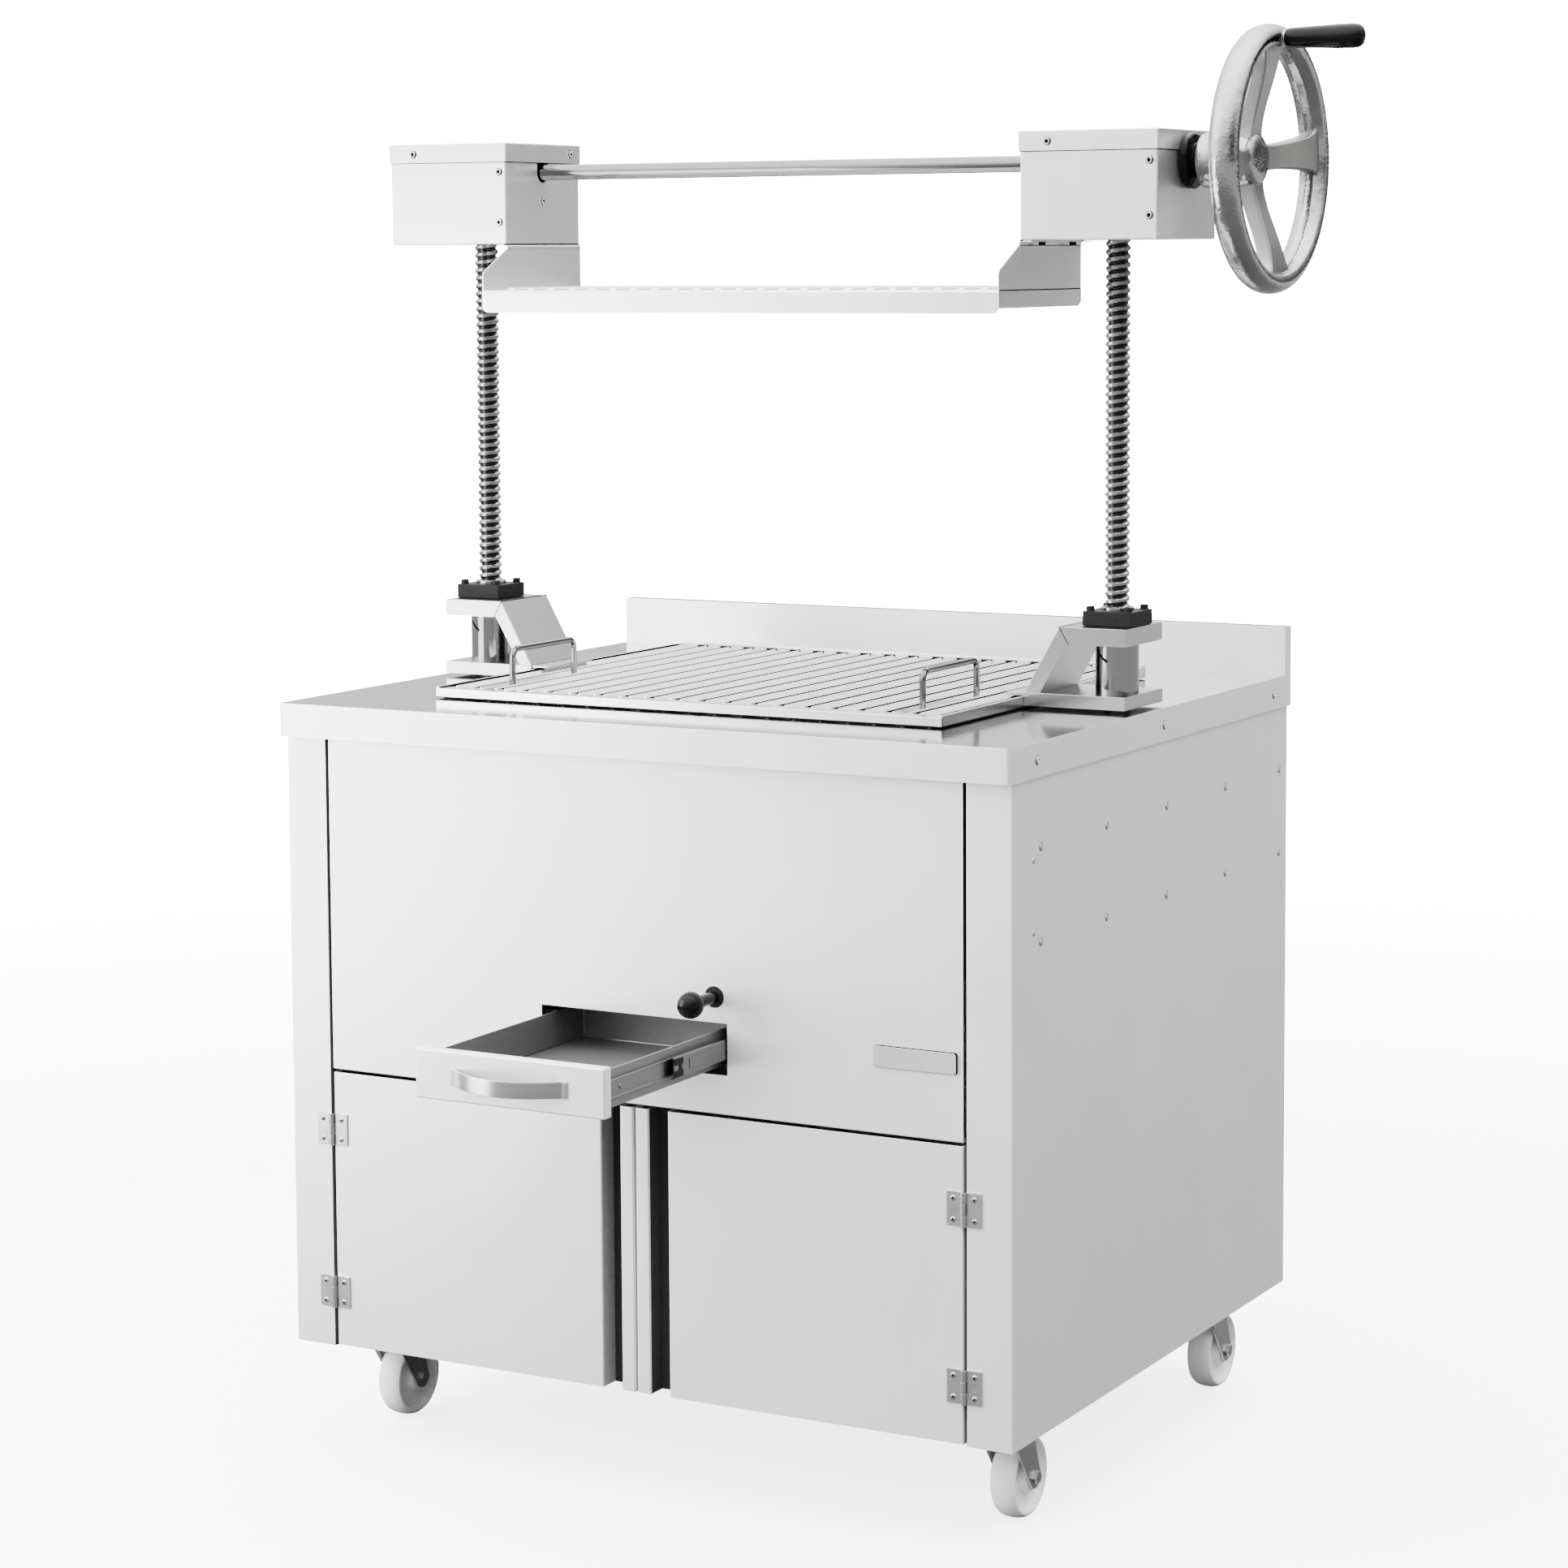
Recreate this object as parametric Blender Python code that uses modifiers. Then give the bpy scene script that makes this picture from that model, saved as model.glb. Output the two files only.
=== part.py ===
# Charcoal grill on castors, with a grate that two handwheel-driven screws raise and lower.
# Metres, +Z up. X runs to the right, Y to the back.
# The origin is on the floor under the middle of the worktop.
import math

import bmesh
import bpy
from mathutils import Matrix, Vector

# Fits and sheet
CLEAR = 0.0003
RUNNING = 0.0004
SHEET = 0.0015
PLATE = 0.002

# Cabinet
WORKTOP_WIDTH = 1.000
WORKTOP_DEPTH = 0.850
WORKTOP_HEIGHT = 0.933
WORKTOP_CORNER = 0.006
SKIRT_HEIGHT = 0.041
SPLASH_HEIGHT = 0.063
SPLASH_DEPTH = 0.020
CASTER_HEIGHT = 0.126
SIDE_INSET = 0.003
FRONT_INSET = 0.013
BACK_INSET = 0.004
STILE_WIDTH = 0.059
EDGE_RETURN = 0.018
PANEL_GAP = 0.003

# Doors
DOOR_HEIGHT = 0.346
DOOR_LIFT = 0.002
DOOR_TOP_GAP = 0.004
DOOR_MEETING_GAP = 0.003
LIP_WIDTH = 0.0185
CHANNEL_WIDTH = 0.026
CHANNEL_DEPTH = 0.028
HINGE_HEIGHT = 0.040
LEAF_WIDTH = 0.022
LEAF_THICKNESS = 0.0018
KNUCKLE_RADIUS = 0.0035
PIN_RADIUS = 0.0016
UPPER_HINGE = 0.276
LOWER_HINGE = 0.070

# Ash drawer and its telescopic slides
OPENING_WIDTH = 0.256
OPENING_HEIGHT = 0.0615
OPENING_RISE = 0.047
DRAWER_FRONT_GAP = 0.002
DRAWER_FRONT_DEPTH = 0.014
DRAWER_OUT = 0.271
DRAWER_LENGTH = 0.343
RAIL_LENGTH = 0.330
RAIL_HEIGHT = 0.044
RAIL_DEPTH = 0.012
RAIL_STEP = 0.002
CARRIER_TAB = 0.018
CARRIER_HEIGHT = 0.056
CARRIER_LENGTH = 0.370
BOW_WIDTH = 0.156
BOW_REACH = 0.030
BOW_HEIGHT = 0.019
BOW_STRIP = 0.0025
BOW_FOOT = 0.016

# Damper
DAMPER_X = 0.111
DAMPER_RISE = 0.0305
DAMPER_ROD_RADIUS = 0.005
DAMPER_STAND = 0.055
DAMPER_PLATE = 0.003
DAMPER_HALF_WIDTH = 0.126
KNOB_RADIUS = 0.016

# Firebox
FIREBOX_WIDTH = 0.688
FIREBOX_FRONT = -0.288
FIREBOX_BACK = 0.284
FIREBOX_RIM = 0.018
ASH_SLOT_WIDTH = 0.200
ASH_SLOT_FRONT = -0.200
ASH_SLOT_BACK = 0.100
COAL_DROP = 0.229
COAL_LEDGE = 0.015
COAL_PLATE = 0.006
COAL_SLOTS = 16
COAL_BAR = 0.016

# Lifting screws
SCREW_INSET = 0.050
SCREW_Y = -0.020
THREAD_PITCH = 0.010
THREAD_RADIUS = 0.015
THREAD_DEPTH = 0.0028
THREAD_START = math.radians(7)
JOURNAL_RADIUS = 0.010
COLLAR_RADIUS = 0.016
BEARING_SIZE = 0.064
BEARING_HEIGHT = 0.040

# Gear housings, shaft and shelf
HOUSING_RISE = 0.563
HOUSING_SIZE = 0.176
HOUSING_HEIGHT = 0.129
LID_SKIRT = 0.024
LID_GAP = 0.0005
SHAFT_RISE = 0.092
SHAFT_RADIUS = 0.010
NOTCH_WIDTH = 0.026
GEAR_TEETH = 16
GEAR_RADIUS = 0.030
GEAR_FACE = 0.010
GEAR_HUB = 0.012
SHELF_DROP = 0.058
SHELF_LIP = 0.028
SHELF_FRONT = -0.166
SHELF_SKIRT = 0.022

# Handwheel
WHEEL_RADIUS = 0.157
WHEEL_RIM = 0.028
RIM_DEPTH = 0.036
WHEEL_OUT = 0.105
HUB_RADIUS = 0.033
HUB_LENGTH = 0.072
COLLAR_LENGTH = 0.017
SPOKES = 4
SPOKE_TURN = math.radians(5)
GRIP_LENGTH = 0.095
GRIP_RADIUS = 0.0143
GRIP_NECK = 0.0115
GRIP_PIN = 0.005
GRIP_ORBIT = 0.140

# Lift brackets, nuts and grate
BRACKET_INNER = 0.352
BRACKET_OUTER = 0.485
BRACKET_DEPTH = 0.110
BRACKET_TOP = 0.101
BRACKET_TOP_WIDTH = 0.087
BRACKET_TOP_SKIRT = 0.021
BRACKET_FOOT = 0.020
BRACKET_FOOT_SKIRT = 0.016
BRACKET_FLANGE = 0.018
TUBE_RADIUS = 0.0265
NUT_SIZE = 0.064
NUT_HEIGHT = 0.018
GRATE_FRONT = -0.298
GRATE_BACK = 0.292
GRATE_RAIL = 0.005
GRATE_FOOT = 0.0015
GRATE_FRONT_TOP = 0.013
GRATE_SIDE_TOP = 0.015
GRATE_BACK_TOP = 0.018
GUTTER_DEPTH = 0.024
BAR_PITCH = 0.036
BAR_WIDTH = 0.032
BAR_DEPTH = 0.012
HANDLE_BAR = 8
HANDLE_FRONT = -0.220
HANDLE_BACK = -0.075
HANDLE_HEIGHT = 0.048
HANDLE_ROD = 0.004

# Castors
CASTER_SIDE_INSET = 0.067
CASTER_END_INSET = 0.130
CASTER_TRAIL = 0.034
CASTER_PLATE_X = 0.084
CASTER_PLATE_Y = 0.104
CASTER_PLATE = 0.003
RACEWAY_RADIUS = 0.034
FORK_TOP = 0.0042
FORK_CHEEK = 0.003
FORK_ROUND = 0.014
KING_PIN = 0.006
WHEEL_SIZE = 0.100
TREAD_WIDTH = 0.032
WHEEL_HUB_WIDTH = 0.036
AXLE_RADIUS = 0.0055

# Places worked out from the sizes above
SIDES = (("left", -1), ("right", 1))
TOP = WORKTOP_HEIGHT
UNDER = TOP - PLATE
BASE = CASTER_HEIGHT
FRONT = -WORKTOP_DEPTH / 2 + FRONT_INSET
BACK = WORKTOP_DEPTH / 2 - BACK_INSET
HALF_WIDTH = WORKTOP_WIDTH / 2 - SIDE_INSET
SCREW_X = WORKTOP_WIDTH / 2 - SCREW_INSET
CASTER_X = WORKTOP_WIDTH / 2 - CASTER_SIDE_INSET
CASTER_Y = WORKTOP_DEPTH / 2 - CASTER_END_INSET
STILE_EDGE = HALF_WIDTH - STILE_WIDTH
PANEL_EDGE = STILE_EDGE - PANEL_GAP
DOOR_BOTTOM = BASE + DOOR_LIFT
DOOR_TOP = DOOR_BOTTOM + DOOR_HEIGHT
PANEL_BOTTOM = DOOR_TOP + DOOR_TOP_GAP
HINGE_X = (STILE_EDGE + PANEL_EDGE) / 2
HINGE_Y = FRONT - CLEAR - KNUCKLE_RADIUS
OPENING_BOTTOM = PANEL_BOTTOM + OPENING_RISE
OPENING_TOP = OPENING_BOTTOM + OPENING_HEIGHT
DRAWER_Z = (OPENING_BOTTOM + OPENING_TOP) / 2
CARRIER_X = OPENING_WIDTH / 2 + RAIL_STEP
CARRIER_FRONT = FRONT + SHEET + CLEAR
DAMPER_Z = OPENING_TOP + DAMPER_RISE
FIREBOX_FLOOR = DAMPER_Z + DAMPER_ROD_RADIUS + DAMPER_PLATE
SHAFT_Z = TOP + HOUSING_RISE + SHAFT_RISE
HOUSING_Z = TOP + HOUSING_RISE
SHELF_X = SCREW_X - HOUSING_SIZE / 2 - CLEAR
HOUSING_OUT = SCREW_X + HOUSING_SIZE / 2
COLLAR_START = HOUSING_OUT + LID_GAP + SHEET + CLEAR
HUB_START = COLLAR_START + COLLAR_LENGTH + PLATE
RIM_X = HOUSING_OUT + WHEEL_OUT
AXLE_Z = WHEEL_SIZE / 2
HANDLE_X = HANDLE_BAR * BAR_PITCH

# Proportions that follow the sizes above
GEAR_ROOT = 0.86 * GEAR_RADIUS
GEAR_TIP = 1.11 * GEAR_RADIUS
GEAR_HUB_RADIUS = 1.6 * SHAFT_RADIUS
ROOT_SHARE = 27 / 100
TIP_SHARE = 11 / 100
POST_INSET = 2.5 * GEAR_HUB
SPOKE_THICKNESS = 0.8 * WHEEL_RIM
SPOKE_INNER = 0.4 * HUB_RADIUS
SPOKE_OUTER = 0.7 * HUB_RADIUS
KING_PIN_HEAD = 1.6 * KING_PIN
FORK_DECK = 0.8 * RACEWAY_RADIUS
AXLE_HEAD = 1.5 * AXLE_RADIUS
WHEEL_BOSS = 0.18 * WHEEL_SIZE
WEB_START = 0.20 * WHEEL_SIZE
WEB_END = 0.37 * WHEEL_SIZE
WEB_HALF = 0.25 * TREAD_WIDTH
TREAD_START = 0.40 * WHEEL_SIZE
TREAD_SHOULDER = 0.46 * WHEEL_SIZE
TREAD_FLAT = 0.31 * TREAD_WIDTH


# Modelling helpers
def fresh_scene():
    for item in list(bpy.data.objects):
        bpy.data.objects.remove(item)
    for name in ("charcoal_grill", "cutters"):
        bpy.context.scene.collection.children.link(bpy.data.collections.new(name))


def blank(shape):
    """A hidden working object that holds a shape while it is cut or joined."""
    mesh = bpy.data.meshes.new("blank")
    shape.to_mesh(mesh)
    shape.free()
    item = bpy.data.objects.new("blank", mesh)
    item.hide_render = True
    item.display_type = "WIRE"
    bpy.data.collections["cutters"].objects.link(item)
    return item


def evaluated(item):
    """The shape of a working object after its modifiers, with the object removed."""
    depsgraph = bpy.context.evaluated_depsgraph_get()
    mesh = bpy.data.meshes.new_from_object(item.evaluated_get(depsgraph))
    shape = bmesh.new()
    shape.from_mesh(mesh)
    bpy.data.meshes.remove(mesh)
    bpy.data.objects.remove(item)
    return shape


def boolean(shape, tool, operation):
    body = blank(shape)
    cutter = blank(tool)
    step = body.modifiers.new("boolean", "BOOLEAN")
    step.operation = operation
    step.solver = "EXACT"
    step.object = cutter
    result = evaluated(body)
    bpy.data.objects.remove(cutter)
    return result


def joined(shape, *others):
    for other in others:
        shape = boolean(shape, other, "UNION")
    return shape


def cut(shape, *tools):
    for tool in tools:
        shape = boolean(shape, tool, "DIFFERENCE")
    return shape


def together(*shapes):
    """Several shapes that don't touch, held as one."""
    result = bmesh.new()
    for shape in shapes:
        mesh = bpy.data.meshes.new("part")
        shape.to_mesh(mesh)
        shape.free()
        result.from_mesh(mesh)
        bpy.data.meshes.remove(mesh)
    return result


def box(x, y, z):
    shape = bmesh.new()
    bmesh.ops.create_cube(shape, size=1.0)
    for vert in shape.verts:
        vert.co = [max(pair) if here > 0 else min(pair) for pair, here in zip((x, y, z), vert.co)]
    return shape


def rod(radius, start, end, sides=16):
    shape = bmesh.new()
    start = Vector(start)
    along = Vector(end) - start
    turn = Vector((0, 0, 1)).rotation_difference(along).to_matrix().to_4x4()
    place = Matrix.Translation(start + along / 2) @ turn
    bmesh.ops.create_cone(shape, cap_ends=True, segments=sides, radius1=radius, radius2=radius,
                          depth=along.length, matrix=place)
    return shape


def placed(shape, origin, axis, toward):
    """Turns a shape made along local Z so that Z lies on axis and X points toward."""
    axis = Vector(axis)
    toward = Vector(toward)
    turn = Matrix((toward, axis.cross(toward), axis)).transposed().to_4x4()
    bmesh.ops.transform(shape, matrix=Matrix.Translation(origin) @ turn, verts=shape.verts)
    return shape


def arc(centre, radius, start, end, steps):
    """Points on an arc, with its angles in degrees."""
    angles = [math.radians(start + (end - start) * step / steps) for step in range(steps + 1)]
    return [(centre[0] + radius * math.cos(a), centre[1] + radius * math.sin(a)) for a in angles]


def rectangle(u, v):
    return [(u[0], v[0]), (u[1], v[0]), (u[1], v[1]), (u[0], v[1])]


def circle(centre, radius, sides=16):
    return arc(centre, radius, 0, 360, sides)[:-1]


def folded(path, thickness):
    """Closed outline of a bent sheet whose outer face follows the path, with its metal on the left."""
    points = [Vector(point) for point in path]
    normals = []
    for here, there in zip(points, points[1:]):
        along = (there - here).normalized()
        normals.append(Vector((-along.y, along.x)))
    inner = []
    for index, point in enumerate(points):
        before = normals[max(index - 1, 0)]
        after = normals[min(index, len(normals) - 1)]
        inner.append(point + (before + after) * thickness / (1 + before.dot(after)))
    return [tuple(point) for point in points + inner[::-1]]


AXES = {"XY": (0, 1, 2), "XZ": (0, 2, 1), "YZ": (1, 2, 0)}


def sheet(plane, span, outline, *holes):
    """A flat outline with holes, given thickness along the plane's normal between the two ends of span."""
    data = bpy.data.curves.new("outline", "CURVE")
    data.dimensions = "2D"
    data.fill_mode = "BOTH"
    data.extrude = abs(span[1] - span[0]) / 2
    for loop in (outline, *holes):
        spline = data.splines.new("POLY")
        spline.points.add(len(loop) - 1)
        spline.use_cyclic_u = True
        for point, (u, v) in zip(spline.points, loop):
            point.co = (u, v, 0, 1)
    item = bpy.data.objects.new("outline", data)
    bpy.data.collections["cutters"].objects.link(item)
    shape = evaluated(item)
    bpy.data.curves.remove(data)
    bmesh.ops.remove_doubles(shape, verts=shape.verts, dist=1e-6)
    middle = sum(span) / 2
    for vert in shape.verts:
        u, v, depth = vert.co
        place = [0, 0, 0]
        for axis, value in zip(AXES[plane], (u, v, depth + middle)):
            place[axis] = value
        vert.co = place
    bmesh.ops.recalc_face_normals(shape, faces=shape.faces)
    return shape


def turned(profile, steps, closed=False):
    """A profile of (radius, height) points, from top to bottom, turned about local Z."""
    shape = bmesh.new()
    verts = [shape.verts.new((radius, 0, height)) for radius, height in profile]
    pairs = list(zip(verts, verts[1:]))
    if closed:
        pairs.append((verts[-1], verts[0]))
    for pair in pairs:
        shape.edges.new(pair)
    item = blank(shape)
    step = item.modifiers.new("turn", "SCREW")
    step.steps = step.render_steps = steps
    step.use_merge_vertices = True
    step.merge_threshold = 1e-5
    shape = evaluated(item)
    bmesh.ops.remove_doubles(shape, verts=shape.verts, dist=1e-6)
    bmesh.ops.recalc_face_normals(shape, faces=shape.faces)
    return shape


def bent_rod(points, radius):
    """A round rod along the points."""
    data = bpy.data.curves.new("rod", "CURVE")
    data.dimensions = "3D"
    data.bevel_depth = radius
    data.bevel_resolution = 2
    data.use_fill_caps = True
    spline = data.splines.new("POLY")
    spline.points.add(len(points) - 1)
    for point, place in zip(spline.points, points):
        point.co = (*place, 1)
    item = bpy.data.objects.new("rod", data)
    bpy.data.collections["cutters"].objects.link(item)
    shape = evaluated(item)
    bpy.data.curves.remove(data)
    bmesh.ops.remove_doubles(shape, verts=shape.verts, dist=1e-6)
    bmesh.ops.recalc_face_normals(shape, faces=shape.faces)
    return shape


MATERIALS = {
    "stainless": ((0.62, 0.62, 0.61), 0.32, 1.0),
    "polished_aluminium": ((0.80, 0.80, 0.79), 0.14, 1.0),
    "black_plastic": ((0.015, 0.015, 0.016), 0.30, 0.0),
    "black_steel": ((0.045, 0.045, 0.047), 0.45, 0.6),
    "screw_steel": ((0.45, 0.45, 0.44), 0.28, 1.0),
    "firebox_steel": ((0.10, 0.095, 0.09), 0.62, 0.8),
    "zinc_steel": ((0.50, 0.51, 0.52), 0.36, 1.0),
    "white_nylon": ((0.82, 0.82, 0.80), 0.45, 0.0),
    "gear_steel": ((0.30, 0.30, 0.31), 0.38, 1.0),
}


def material(name):
    found = bpy.data.materials.get(name)
    if found:
        return found
    color, roughness, metallic = MATERIALS[name]
    found = bpy.data.materials.new(name)
    found.use_nodes = True
    shader = found.node_tree.nodes["Principled BSDF"]
    shader.inputs["Base Color"].default_value = (*color, 1)
    shader.inputs["Roughness"].default_value = roughness
    shader.inputs["Metallic"].default_value = metallic
    return found


def pivot(name, place):
    """An empty on a joint's axis, which carries the pieces that move with it."""
    empty = bpy.data.objects.new(name, None)
    empty.location = place
    bpy.data.collections["charcoal_grill"].objects.link(empty)
    return empty


def piece(name, shape, finish, carrier=None):
    """Names a finished shape as one sub-part, with its origin on the joint that carries it."""
    mesh = bpy.data.meshes.new(name)
    if carrier:
        bmesh.ops.translate(shape, vec=-carrier.location, verts=shape.verts)
    shape.to_mesh(mesh)
    shape.free()
    mesh.shade_smooth()
    mesh.set_sharp_from_angle(angle=math.radians(32))
    mesh.materials.append(material(finish))
    item = bpy.data.objects.new(name, mesh)
    item.parent = carrier
    bpy.data.collections["charcoal_grill"].objects.link(item)
    return item


def mirrored(path, side):
    """A path for the right side, or its mirror image with the metal still on the left of its way."""
    return path if side > 0 else [(-u, v) for u, v in path[::-1]]


# Cabinet panels
def side_panels():
    path = [(HALF_WIDTH - EDGE_RETURN, BACK), (HALF_WIDTH, BACK), (HALF_WIDTH, FRONT), (STILE_EDGE, FRONT),
            (STILE_EDGE, FRONT + EDGE_RETURN)]
    for name, side in SIDES:
        outline = folded([(side * x, y) for x, y in path][::-side], SHEET)
        piece(f"{name}_side_panel", sheet("XY", (BASE, UNDER - CLEAR), outline), "stainless")


def back_panel():
    rear = BACK - SHEET - CLEAR
    half = HALF_WIDTH - SHEET - CLEAR
    piece("back_panel", box((-half, half), (rear - PLATE, rear), (BASE, UNDER - CLEAR)), "stainless")
    front = FRONT + CHANNEL_DEPTH + 2 * PLATE
    piece("base_plate", box((-half, half), (front, rear - PLATE - CLEAR), (BASE, BASE + PLATE)), "stainless")


def front_panel():
    plate = sheet("XZ", (FRONT, FRONT + SHEET),
                  rectangle((-PANEL_EDGE, PANEL_EDGE), (PANEL_BOTTOM, UNDER - CLEAR)),
                  rectangle((-OPENING_WIDTH / 2, OPENING_WIDTH / 2), (OPENING_BOTTOM, OPENING_TOP)),
                  circle((DAMPER_X, DAMPER_Z), DAMPER_ROD_RADIUS + 2 * RUNNING))
    fold = box((-PANEL_EDGE, PANEL_EDGE), (FRONT, FRONT + EDGE_RETURN), (PANEL_BOTTOM, PANEL_BOTTOM + SHEET))
    piece("front_panel", joined(plate, fold), "stainless")


def worktop():
    half = WORKTOP_WIDTH / 2
    deep = WORKTOP_DEPTH / 2
    round_off = WORKTOP_CORNER

    def outline(inset):
        reach = half - inset
        radius = max(round_off - inset, round_off / 4)
        front = -deep + inset
        left = arc((-reach + radius, front + radius), radius, 180, 270, 4)
        right = arc((reach - radius, front + radius), radius, 270, 360, 4)
        return left + right + [(reach, deep - inset), (-reach, deep - inset)]

    body = sheet("XY", (TOP - SKIRT_HEIGHT, TOP), outline(0))
    splash = box((-half, half), (deep - SPLASH_DEPTH, deep), (TOP - SHEET, TOP + SPLASH_HEIGHT))
    hollow = sheet("XY", (TOP - SKIRT_HEIGHT - PLATE, UNDER), outline(PLATE))
    splash_hollow = box((PLATE - half, half - PLATE), (deep - SPLASH_DEPTH + PLATE, deep - PLATE),
                        (UNDER - SKIRT_HEIGHT / 4, TOP + SPLASH_HEIGHT - PLATE))
    mouth = FIREBOX_WIDTH / 2 + PLATE
    opening = box((-mouth, mouth), (FIREBOX_FRONT - PLATE, FIREBOX_BACK + PLATE),
                  (UNDER - PLATE, TOP + PLATE))
    holes = [rod(COLLAR_RADIUS + PLATE, (side * SCREW_X, SCREW_Y, UNDER - PLATE),
                 (side * SCREW_X, SCREW_Y, TOP + PLATE), 20) for _, side in SIDES]
    piece("worktop", cut(joined(body, splash), hollow, splash_hollow, opening, *holes), "stainless")


# Firebox with the charcoal grate and the damper under its floor
def firebox():
    half = FIREBOX_WIDTH / 2
    rim_top = UNDER - CLEAR
    floor = FIREBOX_FLOOR
    body = box((-half, half), (FIREBOX_FRONT, FIREBOX_BACK), (floor, rim_top))
    rim = box((-half - FIREBOX_RIM, half + FIREBOX_RIM),
              (FIREBOX_FRONT - FIREBOX_RIM, FIREBOX_BACK + FIREBOX_RIM), (rim_top - PLATE, rim_top))
    hollow = box((PLATE - half, half - PLATE), (FIREBOX_FRONT + PLATE, FIREBOX_BACK - PLATE),
                 (floor + PLATE, rim_top + PLATE))
    slot = box((-ASH_SLOT_WIDTH / 2, ASH_SLOT_WIDTH / 2), (ASH_SLOT_FRONT, ASH_SLOT_BACK),
               (floor - PLATE, floor + 2 * PLATE))
    shape = cut(joined(body, rim), hollow, slot)
    ledge = TOP - COAL_DROP
    guide = DAMPER_HALF_WIDTH + CLEAR
    lip_top = floor - DAMPER_PLATE - 2 * CLEAR
    for _, side in SIDES:
        shelf = box((side * (half - COAL_LEDGE), side * (half - PLATE / 2)),
                    (FIREBOX_FRONT + PLATE / 2, FIREBOX_BACK - PLATE / 2), (ledge - PLATE, ledge))
        wall = box((side * guide, side * (guide + PLATE)), (ASH_SLOT_FRONT, ASH_SLOT_BACK),
                   (lip_top - PLATE, floor + PLATE / 2))
        lip = box((side * (guide - COAL_LEDGE), side * (guide + PLATE / 2)), (ASH_SLOT_FRONT, ASH_SLOT_BACK),
                  (lip_top - PLATE, lip_top))
        shape = joined(shape, shelf, joined(wall, lip))
    piece("firebox", shape, "firebox_steel")

    reach = half - PLATE - PLATE
    front = FIREBOX_FRONT + 2 * PLATE
    back = FIREBOX_BACK - 2 * PLATE
    pitch = (2 * reach - COAL_BAR) / COAL_SLOTS
    slots = [rectangle((-reach + COAL_BAR + pitch * i, -reach + pitch * (i + 1)),
                       (front + 2 * COAL_BAR, back - 2 * COAL_BAR)) for i in range(COAL_SLOTS)]
    coal_bottom = ledge + CLEAR
    piece("charcoal_grate", sheet("XY", (coal_bottom, coal_bottom + COAL_PLATE),
                                  rectangle((-reach, reach), (front, back)), *slots), "firebox_steel")


def damper():
    plate_top = FIREBOX_FLOOR - CLEAR
    tab_front = ASH_SLOT_FRONT - COAL_LEDGE
    knob_base = FRONT - DAMPER_STAND + KNOB_RADIUS
    seat = knob_base - KNOB_RADIUS / 2
    carrier = pivot("damper_pull", (DAMPER_X, FRONT, DAMPER_Z))
    plate = box((-DAMPER_HALF_WIDTH, DAMPER_HALF_WIDTH), (tab_front, ASH_SLOT_BACK + COAL_LEDGE),
                (plate_top - DAMPER_PLATE, plate_top))
    tab = box((DAMPER_X - COAL_LEDGE, DAMPER_X + COAL_LEDGE), (tab_front, tab_front + DAMPER_PLATE),
              (DAMPER_Z - 2 * DAMPER_ROD_RADIUS, plate_top - DAMPER_PLATE / 2))
    pull = rod(DAMPER_ROD_RADIUS, (DAMPER_X, tab_front + DAMPER_PLATE / 2, DAMPER_Z),
               (DAMPER_X, seat, DAMPER_Z))
    piece("damper_plate", joined(plate, tab, pull), "zinc_steel", carrier)
    bore = DAMPER_ROD_RADIUS + CLEAR
    ball = [(KNOB_RADIUS * math.sin(a), KNOB_RADIUS * (1 + math.cos(a)))
            for a in [math.radians(18 * i) for i in range(9)]]
    profile = ball + [(bore, 0.0), (bore, KNOB_RADIUS / 2 + CLEAR), (0, KNOB_RADIUS / 2 + CLEAR)]
    knob = placed(turned(profile, 16), (DAMPER_X, knob_base, DAMPER_Z), (0, -1, 0), (1, 0, 0))
    piece("damper_knob", knob, "black_plastic", carrier)


# Doors, each a folded sheet with a finger channel, and their hinges
def doors():
    for name, side in SIDES:
        lip = DOOR_MEETING_GAP / 2
        channel = lip + LIP_WIDTH
        face = channel + CHANNEL_WIDTH
        path = [(lip, FRONT + EDGE_RETURN), (lip, FRONT), (channel, FRONT), (channel, FRONT + CHANNEL_DEPTH),
                (face, FRONT + CHANNEL_DEPTH), (face, FRONT), (PANEL_EDGE, FRONT),
                (PANEL_EDGE, FRONT + EDGE_RETURN)]
        carrier = pivot(f"{name}_door_hinge", (side * HINGE_X, HINGE_Y, DOOR_BOTTOM))
        outline = folded(mirrored(path, side), SHEET)
        piece(f"{name}_door", sheet("XY", (DOOR_BOTTOM, DOOR_TOP), outline), "stainless", carrier)
        for place, height in (("upper", UPPER_HINGE), ("lower", LOWER_HINGE)):
            hinge(f"{name}_{place}", side, BASE + height, carrier)


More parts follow.
